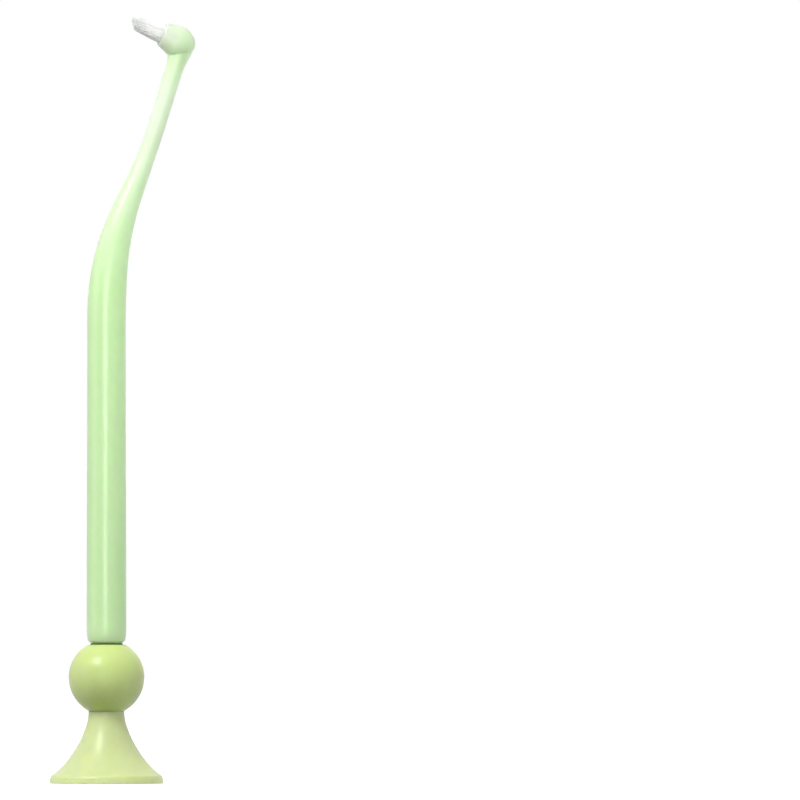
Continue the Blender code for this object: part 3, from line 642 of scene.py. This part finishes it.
def spine_point(distance):
    """Point of the spine at a distance from the lower end of the grip, walked in short even steps."""
    stride = distance / WALK_STEPS
    point = Vector((0, 0, GRIP_BOTTOM))
    for step in range(WALK_STEPS):
        point += along_spine(lean_at(stride * (step + 0.5))) * stride
    return point


def girth_at(distance):
    """Radius of the moulding at a distance along the spine."""
    if distance < GRIP_END_ROUNDING:
        rise = math.sqrt(max(0, 1 - (1 - distance / GRIP_END_ROUNDING) ** 2))
        return mixed(GRIP_END_RADIUS, GRIP_RADIUS, rise)
    taper = smooth_step((distance - TAPER_START) / TAPER_RUN)
    waist = smooth_step((distance - GRIP_END_ROUNDING) / (BEND_START - GRIP_END_ROUNDING))
    flare = smooth_step((distance - SPINE_LENGTH + FLARE_RUN) / FLARE_RUN)
    grip = mixed(GRIP_RADIUS, GRIP_WAIST_RADIUS, waist)
    return mixed(grip, NECK_RADIUS, taper) + (NECK_FLARE_RADIUS - NECK_RADIUS) * flare


def head_place():
    """Matrix of the head: its centre beside the end of the spine, with local +Z along the tuft."""
    lean = lean_at(SPINE_LENGTH)
    across = Vector((-math.cos(lean), 0, math.sin(lean)))
    centre = spine_point(SPINE_LENGTH) + along_spine(lean) * HEAD_RISE + across * HEAD_OFFSET
    return Matrix.Translation(centre) @ Matrix.Rotation(TUFT_ANGLE - math.pi / 2, 4, "Y")


def stem_rings():
    """Centres, leans and radii of the rings of the spigot, grip and neck, from the spigot's tip up."""
    foot = rounded([
        (0, SPIGOT_BOTTOM, 0),
        (SPIGOT_RADIUS, SPIGOT_BOTTOM, SPIGOT_TIP_ROUNDING),
        (SPIGOT_RADIUS, GRIP_BOTTOM, 0),
        (GRIP_END_RADIUS, GRIP_BOTTOM, GRIP_SHOULDER_ROUNDING),
        (GRIP_END_RADIUS, GRIP_BOTTOM + GRIP_END_ROUNDING, 0),
    ])[:-1]
    rings = [(Vector((0, 0, height)), 0, radius) for radius, height in foot]
    start = GRIP_SHOULDER_ROUNDING * 2
    count = round((SPINE_LENGTH - start) / SPINE_STEP)
    stride = (SPINE_LENGTH - start) / count
    walk = Vector((0, 0, GRIP_BOTTOM + start))
    for step in range(count + 1):
        distance = start + stride * step
        rings.append((walk.copy(), lean_at(distance), girth_at(distance)))
        walk += along_spine(lean_at(distance + stride / 2)) * stride
    end, lean, _ = rings[-1]
    end = end + along_spine(lean) * NECK_END_ROUNDING
    return rings + [(end, lean, NECK_RADIUS), (end, lean, 0)]


def build_stem():
    """The spigot, grip and neck as one swept skin."""
    form = bmesh.new()
    rings = []
    angles = even_angles(FINE_SIDES)
    for centre, lean, radius in stem_rings():
        if radius < TOUCHING:
            rings.append([form.verts.new(centre)])
            continue
        across = Vector((math.cos(lean), 0, -math.sin(lean))) * radius
        depth = Vector((0, radius, 0))
        turns = [centre + across * math.cos(angle) + depth * math.sin(angle) for angle in angles]
        rings.append([form.verts.new(point) for point in turns])
    skinned(form, rings)
    return from_bmesh("brush_handle", form)


def build_head():
    """The head: a cone from its mouth to its widest place, skewed downwards, and a round back."""
    stretch = HEAD_BACK / HEAD_RADIUS
    quarter = arc(0, HEAD_RADIUS, 0, -math.pi / 2, HEAD_STEPS)
    back = [(radius, HEAD_FRONT + height * stretch) for radius, height in quarter]
    front = rounded([
        (0, HEAD_MOUTH_REACH, 0),
        (HEAD_MOUTH_RADIUS, HEAD_MOUTH_REACH, HEAD_LIP_ROUNDING),
        (*back[0], HEAD_SHOULDER_ROUNDING),
        (*back[HEAD_SHOULDER_STEP], 0),
    ])[:-1]
    head = turned("head", front + back[HEAD_SHOULDER_STEP:-1] + [(0, back[-1][1])])
    for corner in head.data.vertices:
        corner.co.x -= HEAD_SKEW * (HEAD_MOUTH_REACH - max(corner.co.z, HEAD_FRONT))
    return head


def tuft_hole():
    """The hole for the tuft, with a chamfered rim, as a tool for cutting."""
    floor = HEAD_MOUTH_REACH - TUFT_HOLE_DEPTH
    rim = HEAD_MOUTH_REACH
    return turned("hole", [
        (0, floor),
        (TUFT_HOLE_RADIUS, floor),
        (TUFT_HOLE_RADIUS, rim - HOLE_CHAMFER),
        (TUFT_HOLE_RADIUS + HOLE_CHAMFER, rim),
        (TUFT_HOLE_RADIUS + HOLE_CHAMFER, rim + HOLE_CHAMFER),
        (0, rim + HOLE_CHAMFER),
    ])


def build_handle(place):
    """The whole moulding of the brush, with the hole for the tuft and the slot for its anchor."""
    handle = build_stem()
    head = build_head()
    head.matrix_world = place
    combined(handle, head, "UNION")
    hole = tuft_hole()
    hole.matrix_world = place
    combined(handle, hole, "DIFFERENCE")
    slot = anchor_window("slot", 2 * (TUFT_HOLE_RADIUS + ANCHOR_BITE + FIT_GAP))
    slot.matrix_world = place
    return combined(handle, slot, "DIFFERENCE")


def filament_spots():
    """Places of the filaments, evenly spread over the root with a little disorder, and the draws."""
    golden = math.pi * (3 - math.sqrt(5))
    draw = random.Random(FILAMENT_SEED)
    reach = PLUG_RADIUS - FILAMENT_RADIUS * FILAMENT_EDGE_RADII
    jitter = FILAMENT_RADIUS * DISORDER_SHARE
    spots = []
    for index in range(FILAMENT_COUNT):
        radius = reach * math.sqrt((index + 0.5) / FILAMENT_COUNT)
        angle = golden * index
        spot = Vector((radius * math.cos(angle), radius * math.sin(angle)))
        spots.append(spot + Vector((draw.gauss(0, jitter), draw.gauss(0, jitter))))
    return spots, draw


def filament_length(spot):
    """Length of a filament by its place: the cut falls to both sides of the apex and at the edge."""
    beyond_apex = spot.x - TUFT_APEX_OFFSET
    slant = max(beyond_apex * TUFT_HIGH_SLOPE, -beyond_apex * TUFT_LOW_SLOPE)
    edge = TUFT_EDGE_TRIM * min(spot.length / PLUG_RADIUS, 1) ** TUFT_EDGE_POWER
    return HEAD_MOUTH_REACH + TUFT_LENGTH - PLUG_TOP - slant - edge


def filament_line(spot, draw):
    """Centre points and radii of one filament, from its root to its rounded tip."""
    length = filament_length(spot) - abs(draw.gauss(0, FILAMENT_RADIUS))
    drift = FILAMENT_RADIUS * DISORDER_SHARE
    sway = Vector((draw.gauss(0, drift), draw.gauss(0, drift)))
    line = []
    for ring in range(FILAMENT_RINGS):
        share = ring / (FILAMENT_RINGS - 1)
        swell = TUFT_SWELL / PLUG_RADIUS * math.sin(math.pi * math.sqrt(share))
        spread = 1 + swell - TUFT_TIP_DRAW_IN / PLUG_RADIUS * share ** 2
        level = spot * spread + sway * share ** 2
        thinning = smooth_step((share - FILAMENT_TAPER_START) / (1 - FILAMENT_TAPER_START))
        radius = FILAMENT_RADIUS * mixed(1, FILAMENT_TIP_SHARE, thinning)
        height = PLUG_TOP - FIT_GAP / 2 + length * share
        line.append((Vector((*level, height)), radius))
    return line


def build_root():
    """The folded root of the tuft, with a window for the anchor."""
    root = turned("root", rounded([
        (0, PLUG_BOTTOM, 0),
        (PLUG_RADIUS, PLUG_BOTTOM, PLUG_ROUNDING),
        (PLUG_RADIUS, PLUG_TOP, EDGE_ROUNDING),
        (0, PLUG_TOP, 0),
    ]), SMALL_SIDES)
    window = anchor_window("window", 3 * PLUG_RADIUS)
    return combined(root, window, "DIFFERENCE")


def build_filaments():
    """The tuft: round filaments that taper to rounded tips, rising from their folded root."""
    root = build_root()
    form = bmesh.new()
    form.from_mesh(root.data)
    bpy.data.objects.remove(root, do_unlink=True)
    turns = [Vector((math.cos(angle), math.sin(angle), 0)) for angle in even_angles(FILAMENT_SIDES)]
    spots, draw = filament_spots()
    for spot in spots:
        line = filament_line(spot, draw)
        rings = [[form.verts.new(line[0][0])]]
        for centre, radius in line:
            rings.append([form.verts.new(centre + turn * radius) for turn in turns])
        top, radius = line[-1]
        rings.append([form.verts.new(top + Vector((0, 0, radius)))])
        skinned(form, rings)
    return from_bmesh("tuft_filaments", form)


def srgb(red, green, blue):
    """Linear colour of a display colour given in 0 to 255."""
    linear = []
    for value in (red / 255, green / 255, blue / 255):
        linear.append(value / 12.92 if value <= 0.04045 else ((value + 0.055) / 1.055) ** 2.4)
    return linear + [1]


def linked(tree, kind, feeds, output, **settings):
    """A new node with its settings and inputs set, and one of its outputs."""
    node = tree.nodes.new(kind)
    for setting, value in settings.items():
        setattr(node, setting, value)
    for socket, value in feeds.items():
        if isinstance(value, bpy.types.NodeSocket):
            tree.links.new(value, node.inputs[socket])
        else:
            node.inputs[socket].default_value = value
    return node.outputs[output]


def calculated(tree, operation, first, second):
    """The result of an operation on two values."""
    return linked(tree, "ShaderNodeMath", {0: first, 1: second}, "Value", operation=operation)


def length_of(tree, vector):
    """The length of a vector."""
    return linked(tree, "ShaderNodeVectorMath", {0: vector}, "Value", operation="LENGTH")


def place_in_object(tree):
    """The point's place in the piece's own metres."""
    return linked(tree, "ShaderNodeTexCoord", {}, "Object")


def along(tree, place, axis):
    """How far a place lies along an axis."""
    return linked(tree, "ShaderNodeSeparateXYZ", {"Vector": place}, axis)


def lathe_place(tree):
    """Place by distance from the Z axis and by height, so that a pattern runs in rings."""
    place = place_in_object(tree)
    level = {"X": along(tree, place, "X"), "Y": along(tree, place, "Y")}
    radius = length_of(tree, linked(tree, "ShaderNodeCombineXYZ", level, "Vector"))
    polar = {"X": radius, "Z": along(tree, place, "Z")}
    return linked(tree, "ShaderNodeCombineXYZ", polar, "Vector")


def noise(tree, place, scale, detail=2, stretch=(1, 1, 1)):
    """A noise from 0 to 1 at a place; stretch scales the place along its axes."""
    warped = linked(tree, "ShaderNodeMapping", {"Vector": place, "Scale": stretch}, "Vector")
    return linked(tree, "ShaderNodeTexNoise", {"Vector": warped, "Scale": scale, "Detail": detail}, "Fac")


def ranged(tree, source, low, high, start=0.3, end=0.7):
    """A value mapped from start..end, the usual reach of a noise, to low..high and kept within them."""
    feeds = {"Value": source, "From Min": start, "From Max": end, "To Min": low, "To Max": high}
    return linked(tree, "ShaderNodeMapRange", feeds, "Result")


# Sockets of the Mix node that carry its colours

MIX_FIRST_COLOUR, MIX_SECOND_COLOUR, MIX_RESULT_COLOUR = 6, 7, 2


def blended(tree, source, first, second):
    """A colour between two, by a value from 0 to 1."""
    node = tree.nodes.new("ShaderNodeMix")
    node.data_type = "RGBA"
    tree.links.new(source, node.inputs["Factor"])
    for index, value in ((MIX_FIRST_COLOUR, first), (MIX_SECOND_COLOUR, second)):
        if isinstance(value, bpy.types.NodeSocket):
            tree.links.new(value, node.inputs[index])
        else:
            node.inputs[index].default_value = value
    return node.outputs[MIX_RESULT_COLOUR]


# Grain: how many grains lie across a patch of the same gloss, and how detailed both are

GLOSS_PATCH_GRAINS = 4
FINE_DETAIL = 3


def surface(
        name, colour, roughness, grain_scale, grain_depth,
        place=place_in_object, stretch=(1, 1, 1), **constants):
    """A Principled material: a colour, uneven gloss and a fine grain, with constants on its own sockets.

    colour is called with the node tree, and gives the colour's socket.
    """
    made = bpy.data.materials.new(name)
    made.use_nodes = True
    tree = made.node_tree
    shader = tree.nodes["Principled BSDF"]
    tree.links.new(colour(tree), shader.inputs["Base Color"])
    spot = place(tree)
    patches = noise(tree, spot, grain_scale / GLOSS_PATCH_GRAINS, FINE_DETAIL, stretch)
    tree.links.new(ranged(tree, patches, *roughness), shader.inputs["Roughness"])
    grain = noise(tree, spot, grain_scale, FINE_DETAIL, stretch)
    normal = linked(tree, "ShaderNodeBump", {"Height": grain, "Distance": grain_depth}, "Normal")
    tree.links.new(normal, shader.inputs["Normal"])
    for socket, value in constants.items():
        shader.inputs[socket.replace("_", " ")].default_value = value
    return made


def patchy(first, second, scale, place=place_in_object, stretch=(1, 1, 1)):
    """A colour that wanders between two."""
    def colour(tree):
        patches = ranged(tree, noise(tree, place(tree), scale, stretch=stretch), 0, 1)
        return blended(tree, patches, first, second)
    return colour


# Plastics: both are of the same polymer, which sets how light bends in it

PLASTIC_IOR = 1.49

# Mint moulding: heights between which it is painted paler up the thin neck, a painted glow for the light
# that passes through it, between which the thick low head is painted deeper as painted shade, its thin top
# left paler, and above which light scatters less far in it

PAINTED_GLOW_START, PAINTED_GLOW_END = 0.136, 0.18
HEAD_PAINTED_SHADE_START, HEAD_PAINTED_SHADE_END, HEAD_PAINTED_SHADE_FOOT = 0.207, 0.197, 0.188
HEAD_SCATTER_HEIGHTS = (0.18, 0.196)
HEAD_SCATTER_SHARE = 0.5
GRIP_MINT = srgb(202, 237, 174)
# The neck's paler mint is a painted glow for light passing through the thin neck; the head's deeper mint is
# painted shade in its thick part.
NECK_PAINTED_GLOW_MINT = srgb(213, 235, 201)
HEAD_PAINTED_SHADE_MINT = srgb(210, 241, 186)
CLOUD_MINT = srgb(244, 251, 238)
CLOUD_SCALE = 180
CLOUD_SHARE = 0.08

# Pistachio stand: the pair of greens of each piece, lit and shaded copies of one plastic, the ball's deeper
# as painted shade and the skirt's paler as painted light, and how far light scatters in it

# One plastic: the ball's greens are deepened as painted shade, the skirt's paled as painted light.
BALL_SHADED_GREENS = srgb(202, 221, 141), srgb(208, 225, 148)
SKIRT_LIT_GREENS = srgb(206, 219, 157), srgb(211, 223, 163)
BALL_SCATTER = 0.5
SKIRT_SCATTER = 0.3

# Pairs of colours between which the other surfaces wander

NYLON_WHITES = srgb(250, 251, 249), srgb(253, 254, 252)
# The elastomer's dark olive is its own colour, and also paints the shadow in the gap under the grip.
ELASTOMER_AND_GAP_SHADE_GREENS = srgb(104, 132, 62), srgb(118, 146, 74)
PAD_GREYS = srgb(84, 88, 82), srgb(104, 108, 101)
STEEL_GREYS = srgb(172, 174, 178), srgb(190, 192, 196)
BRASS_YELLOWS = srgb(198, 164, 92), srgb(214, 180, 106)


def mint_colour(tree):
    """Mint green with a faint cloudiness, and painted light and shade for light passing through it: paler
    where the moulding is thin, deeper in the thick low part of the head.
    """
    place = place_in_object(tree)
    height = along(tree, place, "Z")
    # Painted glow: paler up the thin neck, where light passes through the plastic.
    stem_painted_glow = blended(tree, ranged(tree, height, 0, 1, PAINTED_GLOW_START, PAINTED_GLOW_END), GRIP_MINT, NECK_PAINTED_GLOW_MINT)
    # Painted shade: deeper in the thick low part of the head, its thin top paler again.
    shade_below_head_top = ranged(tree, height, 1, 0, HEAD_PAINTED_SHADE_END, HEAD_PAINTED_SHADE_START)
    shade_above_head_foot = ranged(tree, height, 0, 1, HEAD_PAINTED_SHADE_FOOT, HEAD_PAINTED_SHADE_END)
    whole = blended(tree, calculated(tree, "MULTIPLY", shade_below_head_top, shade_above_head_foot), stem_painted_glow, HEAD_PAINTED_SHADE_MINT)
    cloud = ranged(tree, noise(tree, place, CLOUD_SCALE), 0, CLOUD_SHARE)
    return blended(tree, cloud, whole, CLOUD_MINT)


def mint_plastic():
    """Translucent mint moulding with a satin skin, its light scattered less far in the head."""
    made = surface(
        "mint_plastic", mint_colour,
        roughness=(0.28, 0.33), grain_scale=2600, grain_depth=0.000002, stretch=(1, 1, 0.3),
        IOR=PLASTIC_IOR,
        Specular_IOR_Level=0.9,
        Subsurface_Weight=1.0,
        Subsurface_Radius=(0.005, 0.0055, 0.0045),
    )
    tree = made.node_tree
    height = along(tree, place_in_object(tree), "Z")
    scatter = ranged(tree, height, 1, HEAD_SCATTER_SHARE, *HEAD_SCATTER_HEIGHTS)
    tree.links.new(scatter, tree.nodes["Principled BSDF"].inputs["Subsurface Scale"])
    return made


def pistachio_plastic(name, greens, scatter_scale):
    """Pistachio moulding, slightly translucent, with a satin skin, in the greens given: deeper on the ball
    as painted shade, paler on the skirt as painted light.
    """
    return surface(
        name, patchy(*greens, scale=120),
        roughness=(0.29, 0.36), grain_scale=2200, grain_depth=0.000005,
        IOR=PLASTIC_IOR,
        Specular_IOR_Level=0.4,
        Subsurface_Weight=1.0,
        Subsurface_Radius=(0.003, 0.0038, 0.0008),
        Subsurface_Scale=scatter_scale,
    )


def white_nylon():
    """White filaments, slightly glossy."""
    return surface(
        "white_nylon", patchy(*NYLON_WHITES, scale=900),
        roughness=(0.35, 0.5), grain_scale=9000, grain_depth=0.000003,
    )


def soft_elastomer():
    """Soft dark green elastomer, matt; its darkness is partly its own colour and partly painted shade for
    the gap under the grip.
    """
    return surface(
        "elastomer", patchy(*ELASTOMER_AND_GAP_SHADE_GREENS, scale=600),
        roughness=(0.55, 0.7), grain_scale=6000, grain_depth=0.00001,
    )


def pad_rubber():
    """Grey non-slip rubber with a coarse grain and dusty patches."""
    return surface(
        "pad_rubber", patchy(*PAD_GREYS, scale=350),
        roughness=(0.65, 0.85), grain_scale=5000, grain_depth=0.00002,
    )


def turned_metal(name, tones, roughness):
    """Metal with the fine rings that turning leaves."""
    return surface(
        name, patchy(*tones, scale=900, place=lathe_place, stretch=(1, 1, 0.6)),
        roughness=roughness, grain_scale=9000, grain_depth=0.000006, place=lathe_place,
        Metallic=1.0,
    )


def dress(piece, node, body, finish):
    """Set a piece in place of a node of the frame."""
    piece.data.materials.clear()
    piece.data.materials.append(finish)
    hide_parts(node)
    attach(piece, body)


def build_brush():
    """The moulding of the brush and its filaments."""
    place = head_place()
    filaments = build_filaments()
    filaments.data.transform(place)
    dress(build_handle(place), "handle", "brush", mint_plastic())
    dress(filaments, "bristle_tuft", "brush", white_nylon())


def build_stand():
    """The pieces of the stand, with its sleeve."""
    # The ball and the skirt get shaded and lit copies of one pistachio: painted shade on the ball, painted
    # light on the skirt.
    ball_shaded_finish = pistachio_plastic("pistachio_ball_painted_shade", BALL_SHADED_GREENS, BALL_SCATTER)
    skirt_lit_finish = pistachio_plastic("pistachio_skirt_painted_light", SKIRT_LIT_GREENS, SKIRT_SCATTER)
    dress(build_sleeve(), "socket_sleeve", "sleeve", soft_elastomer())
    dress(build_ball(), "stand_ball", "stand", ball_shaded_finish)
    dress(build_skirt(), "stand_skirt", "stand", skirt_lit_finish)
    dress(build_pad(), "foot_pad", "stand", pad_rubber())


def build_metal():
    """The metal pieces of the stand, and the finish of the anchor, whose node stays."""
    steel = turned_metal("steel", STEEL_GREYS, (0.25, 0.4))
    brass = turned_metal("brass", BRASS_YELLOWS, (0.22, 0.36))
    dress(build_weight(), "ballast_weight", "stand", steel)
    dress(build_screw(), "tie_screw", "stand", steel)
    dress(build_washer(), "screw_washer", "stand", steel)
    dress(build_insert(), "threaded_insert", "stand", brass)
    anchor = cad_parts["tuft_anchor"]
    anchor.data.materials.clear()
    anchor.data.materials.append(steel)


def build_camera():
    """A long lens at the height of the middle of the object, turned a little towards its tuft."""
    beside = (PHOTO_SIZE / 2 - AXIS_PIXEL) / PIXELS_PER_METRE
    height = (FOOT_PIXEL - PHOTO_SIZE / 2) / PIXELS_PER_METRE
    data = bpy.data.cameras.new("camera")
    data.sensor_width = SENSOR_WIDTH
    data.lens = SENSOR_WIDTH * VIEW_DISTANCE * PIXELS_PER_METRE / PHOTO_SIZE
    data.clip_start = CLIP_START
    data.clip_end = CLIP_END
    camera = bpy.data.objects.new("camera", data)
    bpy.context.scene.collection.objects.link(camera)
    camera.location = RIGHT * beside - FORWARD * VIEW_DISTANCE + Vector((0, 0, height))
    camera.rotation_mode = "QUATERNION"
    camera.rotation_quaternion = FORWARD.to_track_quat("-Z", "Y")
    bpy.context.scene.camera = camera


# Lamps: heights on the axis that they are aimed at, and how wide their light spreads

STAND_AIM = 0.08
GRIP_AIM = 0.098
HEAD_AIM = 0.19
TUFT_AIM = 0.205
WIDE = math.pi
NARROW = math.radians(30)
NARROWEST = math.radians(24)


def area_light(
        name, azimuth, elevation, distance, width, height, level,
        aim=STAND_AIM, spread=WIDE, mirrored=True):
    """A soft rectangular lamp; azimuth 0 is in front of the object, positive to the right.

    It's aimed at a height on the axis. With a wide spread, a white surface that faces it shows at the
    level given; with a narrow one, what it's aimed at shows far brighter. A lamp that isn't mirrored
    leaves no streak in the gloss.
    """
    turn = math.radians(azimuth)
    rise = math.radians(elevation)
    flat = RIGHT * math.sin(turn) - FORWARD * math.cos(turn)
    direction = flat * math.cos(rise) + Vector((0, 0, math.sin(rise)))
    data = bpy.data.lights.new(name, "AREA")
    data.shape = "RECTANGLE"
    data.size = width
    data.size_y = height
    data.spread = spread
    data.energy = level * (math.pi * distance) ** 2
    lamp = bpy.data.objects.new(name, data)
    lamp.visible_glossy = mirrored
    bpy.context.scene.collection.objects.link(lamp)
    lamp.location = Vector((0, 0, aim)) + direction * distance
    lamp.rotation_mode = "QUATERNION"
    lamp.rotation_quaternion = (-direction).to_track_quat("-Z", "Y")


def build_lamps():
    """The main lamps, then narrow ones that fill the shaded sides of the neck, the grip and the tuft."""
    area_light("key", -39, 47, 1.0, width=0.36, height=0.36, level=0.7)
    area_light("front", -7, 3, 1.2, width=0.46, height=0.5, level=0.25)
    area_light("left", -75, 20, 1.2, width=0.7, height=0.9, level=0.15)
    area_light("right", 72, 8, 1.2, width=0.7, height=0.9, level=0.025, mirrored=False)
    area_light("back", 160, 25, 1.2, width=0.9, height=0.9, level=0.35, mirrored=False)
    area_light(
        "brush_fill", 62, -12, 0.5, width=0.3, height=0.3, level=0.034,
        aim=HEAD_AIM, spread=NARROW, mirrored=False,
    )
    area_light(
        "grip_fill", 72, 8, 0.6, width=0.25, height=0.25, level=0.0155,
        aim=GRIP_AIM, spread=NARROWEST, mirrored=False,
    )
    area_light(
        "tuft_fill", -50, -25, 0.5, width=0.2, height=0.2, level=0.013,
        aim=TUFT_AIM, spread=NARROW, mirrored=False,
    )


def shown_straight(tree):
    """A value that is 1 for rays that show the background: camera, glossy and transmission rays."""
    path = tree.nodes.new("ShaderNodeLightPath")
    first = calculated(tree, "MAXIMUM", path.outputs["Is Camera Ray"], path.outputs["Is Glossy Ray"])
    return calculated(tree, "MAXIMUM", first, path.outputs["Is Transmission Ray"])


def split_by_ray(tree, output, lighting, shown):
    """Send a tree's output one shader where it lights the object, and another where it shows."""
    mix = linked(tree, "ShaderNodeMixShader", {"Fac": shown_straight(tree), 1: lighting, 2: shown}, "Shader")
    out = tree.nodes.new(output)
    tree.links.new(mix, out.inputs["Surface"])


# Light of the surroundings: its strength at the horizon and overhead, and the rise between the two

HORIZON_LEVEL = 0.01
ZENITH_LEVEL = 0.84
ZENITH_START, ZENITH_END = 0.2, 0.8


def build_world():
    """Pale surroundings that light from overhead, and plain white where the background shows."""
    world = bpy.data.worlds.new("studio")
    world.use_nodes = True
    bpy.context.scene.world = world
    tree = world.node_tree
    tree.nodes.clear()
    rise = along(tree, linked(tree, "ShaderNodeTexCoord", {}, "Generated"), "Z")
    strength = ranged(tree, rise, HORIZON_LEVEL, ZENITH_LEVEL, ZENITH_START, ZENITH_END)
    ambient = linked(tree, "ShaderNodeBackground", {"Strength": strength}, "Background")
    white = linked(tree, "ShaderNodeBackground", {"Color": (1, 1, 1, 1)}, "Background")
    split_by_ray(tree, "ShaderNodeOutputWorld", ambient, white)


# Floor: distances over which its own glow rises, the share that it shows of the light on it, and what
# it throws back by the foot and further off

FLOOR_RADIUS = 3.0
FLOOR_NEAR, FLOOR_FAR = 0.05, 0.3
FLOOR_GLOW = 0.8
FLOOR_SHOWN = 0.35
FLOOR_BOUNCE = 0.1
BOUNCE_BY_FOOT = 0.7
BOUNCE_NEAR, BOUNCE_FAR = 0.017, 0.021


def build_floor():
    """A pale disc that shows white to the camera, keeps the shadow and throws little light back."""
    form = bmesh.new()
    bmesh.ops.create_circle(form, cap_ends=True, segments=FINE_SIDES, radius=FLOOR_RADIUS)
    floor = from_bmesh("floor", form)
    made = bpy.data.materials.new("pale_floor")
    made.use_nodes = True
    tree = made.node_tree
    tree.nodes.clear()
    away = length_of(tree, place_in_object(tree))
    glow = ranged(tree, away, FLOOR_GLOW, 1, FLOOR_NEAR, FLOOR_FAR)
    light = linked(tree, "ShaderNodeEmission", {"Strength": glow}, "Emission")
    grey = (FLOOR_SHOWN, FLOOR_SHOWN, FLOOR_SHOWN, 1)
    shaded = linked(tree, "ShaderNodeBsdfDiffuse", {"Color": grey}, "BSDF")
    thrown = ranged(tree, away, BOUNCE_BY_FOOT, FLOOR_BOUNCE, BOUNCE_NEAR, BOUNCE_FAR)
    bounce = linked(tree, "ShaderNodeBsdfDiffuse", {"Color": thrown}, "BSDF")
    shown = linked(tree, "ShaderNodeAddShader", {0: shaded, 1: light}, "Shader")
    split_by_ray(tree, "ShaderNodeOutputMaterial", bounce, shown)
    floor.data.materials.append(made)


build_brush()
build_stand()
build_metal()
build_camera()
build_world()
build_floor()
build_lamps()
bpy.context.scene.view_settings.view_transform = "Standard"
